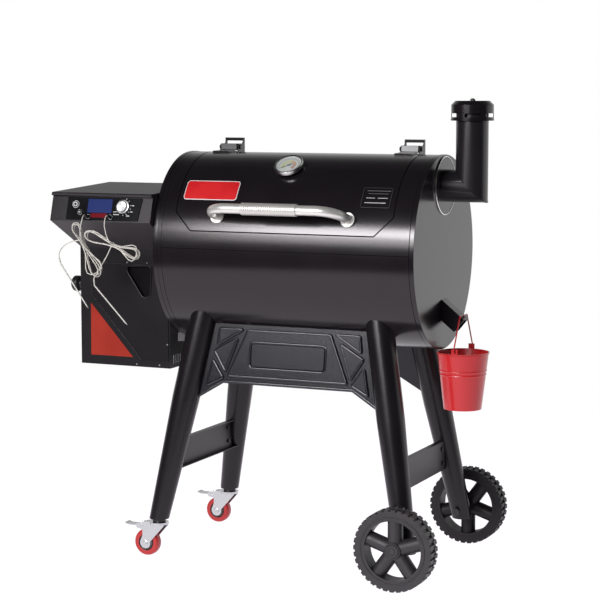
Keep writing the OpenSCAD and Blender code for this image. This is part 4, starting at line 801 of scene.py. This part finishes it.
seam = {"right": 0.3452, "rightWide": 0.0012, "left": -0.334, "leftWide": 0.0010, "thick": 0.0004,
        "proud": 0.0001, "start": -0.3335, "run": 0.678, "rise": 0.0045, "tall": 0.0012}


def ovalRing(name, x, wide):
    # a thin band right round the barrel
    def spot(u, v):
        a = u * 2 * math.pi
        rise = shellForm["top"] * math.sin(a)
        y, lean = shellFront(rise)
        side = 1 if math.cos(a) >= 0 else -1
        n = Vector((0, -side * math.cos(lean), math.sin(lean)))
        return Vector((x + (v - 0.5) * wide, side * y, shellForm["axisZ"] + rise)) + n * seam["proud"]
    obj = wrappedPiece(name, spot, cols=180, rows=1, thick=seam["thick"])
    startEdit(obj)
    endEdit(weld=nodeCare["weld"])
    return obj


def frontSeamSpot(u, v):
    return shellSpot(seam["start"] + seam["run"] * u, seam["rise"] + seam["tall"] * v, seam["proud"])


seams = [ovalRing("seamRight", seam["right"], seam["rightWide"]),
         ovalRing("seamLeft", seam["left"], seam["leftWide"]),
         wrappedPiece("seamFront", frontSeamSpot, cols=8, rows=2, thick=seam["thick"])]
finishPiece(joinAll("shellSeams", seams), gasketDark, "grill")

inner, outer = gauge["across"] / 2 - gauge["bezelIn"], gauge["across"] / 2 - gauge["bezelOut"]
low = gauge["lift"] + gauge["depth"] - gauge["lensSunk"]
high = low + gauge["bezelTall"]
bezel = turnedPiece("gaugeBezel", [(inner, low), (outer, low), (outer, high), (inner, high), (inner, low)],
                    shellFrame(gauge["x"], gauge["rise"]), steps=72)
finishPiece(bezel, gasketDark, "cooking_lid")
print("lid and barrel trimmed")

# ticks by their angle round the knob; bars by their place from it, width and height
panelMarks = {"thick": 0.0002, "tick": (0.0205, 0.0235, 0.0006),
              "ticks": (70, 45, 12, -13, -36, -60, -85, -145),
              "bars": ((0.0285, 0.0040, 0.006, 0.0018), (0.0255, -0.0125, 0.007, 0.0018),
                       (0.0165, -0.0235, 0.009, 0.002), (-0.0185, -0.0205, 0.017, 0.0016),
                       (-0.0235, -0.0135, 0.008, 0.0014)),
              "dash": (0.0034, 0.0007), "dashOut": 0.00605}
skin = panelPlace["skin"]


def panelMark(x0, y0, x1, y1, place=Matrix()):
    return flatPiece("mark", rectangle(x0, y0, x1, y1), panelMarks["thick"], place)


knobX, knobUp = panelSpots["knob"]
near, far, half = panelMarks["tick"]
turns = [Matrix.Rotation(math.radians(turn), 4, "Z") for turn in panelMarks["ticks"]]
marks = copyTo(panelMark(near, -half, far, half), [panelFrame(knobX, knobUp, skin) @ turn for turn in turns])
for x, up, wide, tall in panelMarks["bars"]:
    place = panelFrame(knobX + x, knobUp + up, skin)
    marks.append(panelMark(-wide / 2, -tall / 2, wide / 2, tall / 2, place))
wide, tall = panelMarks["dash"]
marks.append(panelMark(-wide, -tall, wide, tall, panelFrame(*panelSpots["menu"], panelMarks["dashOut"])))
finishPiece(joinAll("panelMarks", marks), markWhite, "grill")

# inner radius, outer radius and height; cut is the share that their edges lose
panelRings = {"power": (0.0086, 0.0098, 0.0006), "menu": (0.0067, 0.0074, 0.0005),
              "jack": (0.0056, 0.0064, 0.0008), "cut": 0.3}


def ringsOn(kind, *spots):
    inner, outer, tall = panelRings[kind]
    edge = min(tall, outer - inner) * panelRings["cut"]
    ring = turnedPiece(kind + "Ring", ringProfile(inner, outer, tall, edge), steps=40)
    return copyTo(ring, [panelFrame(*spot, skin) for spot in spots])


finishPiece(ringsOn("power", panelSpots["power"])[0], powerSilver, "grill")
rings = ringsOn("menu", panelSpots["menu"]) + ringsOn("jack", *panelSpots["jacks"])
finishPiece(joinAll("panelRings", rings), zincPlate, "grill")

powerLamp = {"profile": [(0.0034, 0), (0.0034, 0.0003), (0.0028, 0.0006)]}
place = panelFrame(*panelSpots["power"], panelPlace["keyTop"])
lamp = turnedPiece("powerLamp", powerLamp["profile"], place, steps=24)
finishPiece(lamp, gasketDark, "power_key")

panelStrip = {"half": 0.0235, "halfTall": 0.0058, "corner": 0.0015, "thick": 0.0004}
f = panelStrip
outline = rectangle(-f["half"], -f["halfTall"], f["half"], f["halfTall"], f["corner"])
strip = flatPiece("panelStrip", outline, f["thick"], panelFrame(*panelSpots["strip"], skin))
finishPiece(strip, stripRed, "grill")

# inner radius, outer radius and height of each ring on a wheel's face; cut as on the panel
wheelRings = {"hub": (0.0155, 0.0190, 0.0026), "bead": (0.0815, 0.0850, 0.0012), "cut": 0.35, "sunk": 0.0001}
casterNut = {"profile": [(0.0068, 0), (0.0068, 0.0026), (0.0058, 0.0034), (0.0036, 0.0034), (0.0034, 0.0044),
                         (0.0026, 0.0048)]}
rings = []
for kind in ("hub", "bead"):
    inner, outer, tall = wheelRings[kind]
    base = wheelPlace["half"] - wheelRings["sunk"]
    profile = ringProfile(inner, outer, tall, tall * wheelRings["cut"], base)
    rings.append(turnedPiece("ring", profile, steps=64))
x, _, z = wheelPlace["axle"]
places = [turnedPlace((x, side * wheelPlace["side"], z), -side, "X") for side in (-1, 1)]
faces = copyTo(joinAll("rings", rings), places)
x, _, z = casterPlace["axle"]
places = [turnedPlace((x, side * casterPlace["side"] + cheek * casterPlace["cheek"], z), -cheek, "X")
          for side in (-1, 1) for cheek in (-1, 1)]
nuts = copyTo(turnedPiece("nut", casterNut["profile"], steps=6), places)
for end, rubber, face, pair in (("front", wheelPlastic, faces[:1], nuts[:2]),
                                ("rear", wheelPaintedShade, faces[1:], nuts[2:])):
    finishPiece(joinAll(end + "WheelRings", face), rubber, end + "_drive_wheel")
    finishPiece(joinAll(end + "CasterNuts", pair), zincPlate, end + "_swivel")
print("panel and wheels trimmed")

cornerPatch = {"outline": [(-0.599, 0.649), (-0.600, 0.5085), (-0.4715, 0.5085)], "at": -0.1251,
               "thick": 0.0003}
patch = flatPiece("hopperPatch", cornerPatch["outline"], cornerPatch["thick"], frontFrame(cornerPatch["at"]))
finishPiece(patch, markRed, "grill")

accessPanel = {"front": -0.1272, "wall": -0.125, "z": (0.5032, 0.757),
               "pull": [(-0.484, 0.750), (-0.414, 0.753), (-0.419, 0.675), (-0.439, 0.671), (-0.483, 0.736)],
               "round": 0.012, "lip": 0.0024, "lipGap": 0.003, "lipProud": 0.0003,
               "floor": -0.1174, "floorThick": 0.0003,
               "hems": [[(-0.596, 0.7565), (-0.596, 0.672), (-0.445, 0.5032)],
                        [(-0.364, 0.757), (-0.596, 0.757)]],
               "hem": 0.0006, "hemProud": 0.0001,
               "screws": [(-0.460, 0.4905), (-0.392, 0.4915), (-0.367, 0.548), (-0.427, 0.761),
                          (-0.487, 0.761)],
               "screw": [(0.0022, 0), (0.0022, 0.0008), (0.0016, 0.0014), (0.0007, 0.0017)]}
f = accessPanel
around = roundCorners(f["pull"], f["round"])
middle = sum((Vector(p) for p in f["pull"]), Vector((0, 0))) / len(f["pull"])
wider = [tuple(Vector(p) + (Vector(p) - middle).normalized() * f["lipGap"]) for p in around]
lip = beadLine("pullLip", [(x, f["front"] - f["lipProud"], z) for x, z in wider], f["lip"], True)
finishPiece(lip, hopperCharcoal, "grill", beadSmooth)
# the floor of the pull's recess is painted near-black, as the shade in the recess
floorPlate = flatPiece("pullFloor", around, f["floorThick"], frontFrame(f["floor"]))
finishPiece(floorPlate, wellShadeBlack, "grill")
hems = [beadLine("hem", [(x, f["front"] - f["hemProud"], z) for x, z in line], f["hem"], False)
        for line in f["hems"]]
finishPiece(joinAll("panelHems", hems), boltDark, "grill", beadSmooth)
places = []
for x, z in f["screws"]:  # some hold the panel and some the wall round it
    base = f["front"] if f["z"][0] <= z <= f["z"][1] else f["wall"]
    places.append(turnedPlace((x, base, z), 1, "X"))
heads = copyTo(turnedPiece("screw", f["screw"], steps=20), places)
finishPiece(joinAll("panelScrews", heads), galvanised, "grill")

rightWall = -0.3599
# local X to the back, Y up, Z out of the hopper's right wall
sideways = Matrix(((0, 0, 1, rightWall), (1, 0, 0, 0), (0, 1, 0, 0), (0, 0, 0, 1)))
wallClip = {"outline": [(-0.0806, 0.5819), (-0.0409, 0.5772), (-0.0470, 0.5483), (-0.0811, 0.5525)],
            "thick": 0.0012, "edge": 0.0004}
clip = flatPiece("hopperClip", wallClip["outline"], wallClip["thick"], sideways)
soften(clip, wallClip["edge"])
finishPiece(clip, paleGreyAndLitHinge, "grill")

slits = {"first": -0.108, "step": 0.012, "count": 6, "lip": 0.0018, "z": (0.496, 0.518), "corner": 0.0006,
         "thick": 0.0014}
f = slits
(low, high), first = f["z"], f["first"]
lip = flatPiece("lip", rectangle(first, low, first + f["lip"], high, f["corner"]), f["thick"])
places = [Matrix.Translation((0, i * f["step"], 0)) @ sideways for i in range(f["count"])]
finishPiece(joinAll("slitLips", copyTo(lip, places)), paleGreyAndLitHinge, "grill")

# the pressings' outlines are in millimetres along the apron and up it
apronPress = {"origin": (-0.008, -0.15755, 0.462), "lean": math.atan2(0.1357, 0.9907), "press": 0.005,
              "bead": 0.0042, "sunk": 0.0029, "round": 4,
              "fields": [[(131, 141), (195, 140), (200, 99)], [(145, 117), (207, 82), (175, 32)],
                         [(211, 58), (181, 15), (224, -7)]],
              "middle": [(-115, 139), (115, 139), (165, 20), (-165, 20)],
              "plate": (-106, 43, 106, 110, 10),
              "edges": [[(-250, -36.5), (-181.4, 5), (181.4, 5), (250, -36.5)], [(-208, 163), (208, 163)]]}


def apronSpot(x, up, out):
    # a place on the front apron, in millimetres along it and up it, and metres out of it
    f = apronPress
    c, s = math.cos(f["lean"]), math.sin(f["lean"])
    return Vector(f["origin"]) + Vector((x * mm, up * mm * s - out * c, up * mm * c + out * s))


def apronBead(outline, out, closed):
    spots = [apronSpot(x, up, out - apronPress["sunk"]) for x, up in outline]
    return beadLine("bead", spots, apronPress["bead"], closed)


f = apronPress
outlines = [roundCorners(f["middle"], f["round"])]
for side in (-1, 1):
    outlines += [roundCorners([(side * x, up) for x, up in field], f["round"]) for field in f["fields"]]
outlines.append(rectangle(*f["plate"]))
ribs = [apronBead(outline, f["press"], True) for outline in outlines]
ribs += [apronBead(edge, 0.0, False) for edge in f["edges"]]
finishPiece(joinAll("apronRibs", ribs), ribGloss, "grill", beadSmooth)

flangeTrim = {"at": (0.3581, 0, 0.976), "inner": 0.0721, "outer": 0.0740, "wide": 0.0036, "edge": 0.0008}
f = flangeTrim
inner, outer, wide, edge = f["inner"], f["outer"], f["wide"], f["edge"]
ring = [(inner, 0), (outer - edge, 0), (outer, edge), (outer, wide - edge), (outer - edge, wide),
        (inner, wide), (inner, 0)]
trim = turnedPiece("flangeTrim", ring, turnedPlace(f["at"], 1, "Y"), steps=96)
finishPiece(trim, chromeTrim, "grill")

flueForm = {"x": 0.429, "z": 0.976, "r": 0.0406, "bead": 0.0007, "steps": 72}
f = flueForm
weld = []
for i in range(f["steps"]):  # round the mitre, which leans at 45 degrees
    a = i * 2 * math.pi / f["steps"]
    weld.append((f["x"] + f["r"] * math.cos(a), f["r"] * math.sin(a), f["z"] - f["r"] * math.cos(a)))
finishPiece(beadLine("flueWeld", weld, f["bead"], True), boltDark, "grill", beadSmooth)

hingePlace = {"x": 0.256, "y": 0.030, "z": 1.065, "ear": 0.0271, "nut": 0.0066, "hole": 0.0041,
              "tall": 0.0036, "nutEdge": 0.0008,
              "faceHalf": 0.0225, "faceZ": (1.0592, 1.0735), "faceCorner": 0.0015, "faceThick": 0.0006,
              "faceOut": 0.0110, "faceEdge": 0.0002}
h = hingePlace
hole, nut, tall, edge = h["hole"], h["nut"], h["tall"], h["nutEdge"]
nutProfile = [(hole, 0), (nut, 0), (nut, tall - edge), (nut - edge, tall), (hole, tall), (hole, 0)]
places = [turnedPlace((side * h["x"] + face * h["ear"], h["y"], h["z"]), face, "Y")
          for side in (-1, 1) for face in (-1, 1)]
nuts = copyTo(turnedPiece("nut", nutProfile, steps=6), places)
finishPiece(joinAll("hingeNuts", nuts), boltDark, "grill")
# one kind of plate: the left copy is painted in shade and the right copy painted lit
for name, side, mat in (("hingeFaceLeft", -1, dimGreyAndHingeShade), ("hingeFaceRight", 1, paleGreyAndLitHinge)):
    x, half, (low, high) = side * h["x"], h["faceHalf"], h["faceZ"]
    cover = flatPiece(name, rectangle(x - half, low, x + half, high, h["faceCorner"]), h["faceThick"],
                      frontFrame(h["y"] - h["faceOut"]))
    soften(cover, h["faceEdge"])
    finishPiece(cover, mat, "cooking_lid")
print("hopper, flue and hinges trimmed")

# routes are in millimetres from the jack; a hank has the length and fullness of each half turn
probeLead = {
    "across": 0.003, "pitch": 0.0042, "waist": 0.0022, "front": -0.009, "perLoop": 24, "halfTurns": 7,
    "ease": 3, "easeIn": 4,
    "left": {"jack": (-0.542972, -0.247044, 0.892167), "middle": (-0.001, -0.078), "slope": -63,
             "lobes": (86, 60, 80, 64, 90, 58, 84), "full": (27, 25, 62, 28, 34, 26, 44),
             "lead": [(0, -4, 0), (0, -10, -6), (-1, -13, -15), (-3, -14, -25), (-5, -14, -36),
                      (-6, -14, -47), (-6, -13, -57), (-4, -11, -66)],
             "tail": [(-7, 6, -69), (-14, 6, -66), (-23, 6, -66.5), (-34, 6, -68.5), (-46, 6, -72),
                      (-58, 6, -77), (-69, 6, -84), (-77, 6, -93), (-82, 6, -104), (-82, 6, -115)]},
    "right": {"jack": (-0.475922, -0.247044, 0.892167), "middle": (0.027, -0.078), "slope": -18,
              "lobes": (68, 94, 64, 98, 71, 92, 66), "full": (28, 28, 52, 30, 33, 35, 27),
              "lead": [(0, -4, 0), (0, -10, -6), (0, -13, -15), (0, -14, -25), (2, -14, -36), (5, -14, -47),
                       (9, -13, -58), (14, -11, -69)],
              "tail": [(15, 6, -76), (8, 7, -80), (3, 8, -87), (-2, 9, -96), (-8, 10, -106), (-15, 11, -116),
                       (-22, 12, -126), (-30, 13, -137), (-38, 13, -147), (-45, 13, -157), (-49, 13, -167)]},
}


def leadRoute(side):
    f, s = probeLead, probeLead[side]
    d = math.radians(s["slope"])
    run = Vector((math.cos(d), 0, math.sin(d))) * mm
    loop = []
    for i in range(f["halfTurns"] * f["perLoop"] // 2 + 1):
        turn = i * 360 / f["perLoop"]
        h = min(int(turn // 180), f["halfTurns"] - 1)
        a = math.radians(turn)
        along = s["lobes"][h] * mm * math.sin(a)
        across = math.cos(a) * (f["waist"] + s["full"][h] * mm * math.sin(a) ** 2)
        loop.append(Vector((s["middle"][0] + along * math.cos(d) - across * math.sin(d),
                            f["front"] + f["pitch"] * turn / 360,
                            s["middle"][1] + along * math.sin(d) + across * math.cos(d))))
    first, last = loop[0] - run * f["ease"], loop[-1] - run * f["ease"]
    route = [Vector((0, 0, 0))] + [Vector(p) * mm for p in s["lead"]]
    route += [first - run * f["easeIn"], first] + loop + [last, last - run * f["ease"]]
    route += [Vector(p) * mm for p in s["tail"]]
    return [p + Vector(s["jack"]) for p in route]


def layLead(side):
    route = leadRoute(side)
    obj = roundBar("probeLead_" + side, route, probeLead["across"] / 2, rounding=3)
    obj.data.materials.append(braidedLead)
    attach(obj, "grill")
    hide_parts("probe_cord_" + side, "probe_hank_" + side)
    length = sum((b - a).length for a, b in zip(route, route[1:]))
    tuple(route[0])
    print("probe lead", side, round(length, 3), "m")


layLead("left")
layLead("right")

cameraView = {"at": (1.9316, -4.3851, 1.2084), "forward": (-0.4077, 0.9063, -0.1116), "lens": 110.9,
              "sensor": 36}
optics = bpy.data.cameras.new("photoCamera")
optics.lens, optics.sensor_width = cameraView["lens"], cameraView["sensor"]
camera = addObject("photoCamera", optics)
camera.location = cameraView["at"]
camera.rotation_euler = Vector(cameraView["forward"]).to_track_quat("-Z", "Y").to_euler()
bpy.context.scene.camera = camera

studio = {"floorRadius": 2.25, "floorDrop": 0.0005, "floorGlow": 1.0, "front": 0.045, "backLeft": 0.75,
          "backRight": 1.05, "backFrom": (0.0, 0.5), "across": (0.0, 0.3), "fadeUp": (0.25, 0.8),
          "above": 0.1}


def makeFloor():
    clearChoice()
    bpy.ops.mesh.primitive_circle_add(vertices=96, radius=studio["floorRadius"], fill_type="NGON",
                                      location=(0, 0, -studio["floorDrop"]))
    floor = startMesh("studioFloor")
    p = Paint("floorWhite", Roughness=0.8)
    soft = p.noise(p.place(), 3, 2)
    p.feed({"Base Color": p.blend(soft, (0.04, 0.04, 0.04), (0.05, 0.05, 0.05)),
            "Emission Color": (1.04, 1.0, 1.06, 1), "Emission Strength": studio["floorGlow"]})
    floor.data.materials.append(p.mat)


def makeRoom():
    # white wall behind on the right, a dim one on the left, dark in front and above
    world = bpy.data.worlds.new("studioRoom")
    bpy.context.scene.world = world
    p = Paint("studioRoom", world)
    x, y, z = p.axes(p.add("TexCoord", {}, {}, "Generated"), "XYZ")
    s = studio
    wall = p.span(y, *s["backFrom"]) * p.span(x, *s["across"], s["backLeft"], s["backRight"])
    wall = (wall * p.span(z, *s["fadeUp"], 1.0, s["above"])).math("MAXIMUM", s["front"])
    seen = p.add("LightPath", {}, {}, "Is Camera Ray")
    p.feed({"Color": (1, 1, 1, 1), "Strength": seen.math("MAXIMUM", wall)})


softBoxes = {"aim": (0, -0.2, 0.85),
             "frontBoxHigh": {"at": (-0.95, -4.62, 2.42), "size": (2.9, 0.75), "power": 190},
             "frontBoxLow": {"at": (-0.95, -4.72, 1.78), "size": (2.9, 0.7), "power": 55}}


def softBox(name, at, size, power):
    lamp = bpy.data.lights.new(name, "AREA")
    lamp.shape, lamp.energy = "RECTANGLE", power
    lamp.size, lamp.size_y = size
    obj = addObject(name, lamp)
    obj.location = at
    obj.rotation_euler = (Vector(softBoxes["aim"]) - Vector(at)).to_track_quat("-Z", "Y").to_euler()
    obj.visible_camera = False


makeFloor()
makeRoom()
for name in ("frontBoxHigh", "frontBoxLow"):
    softBox(name, **softBoxes[name])
bpy.context.scene.view_settings.view_transform = "Standard"
print("studio lit")
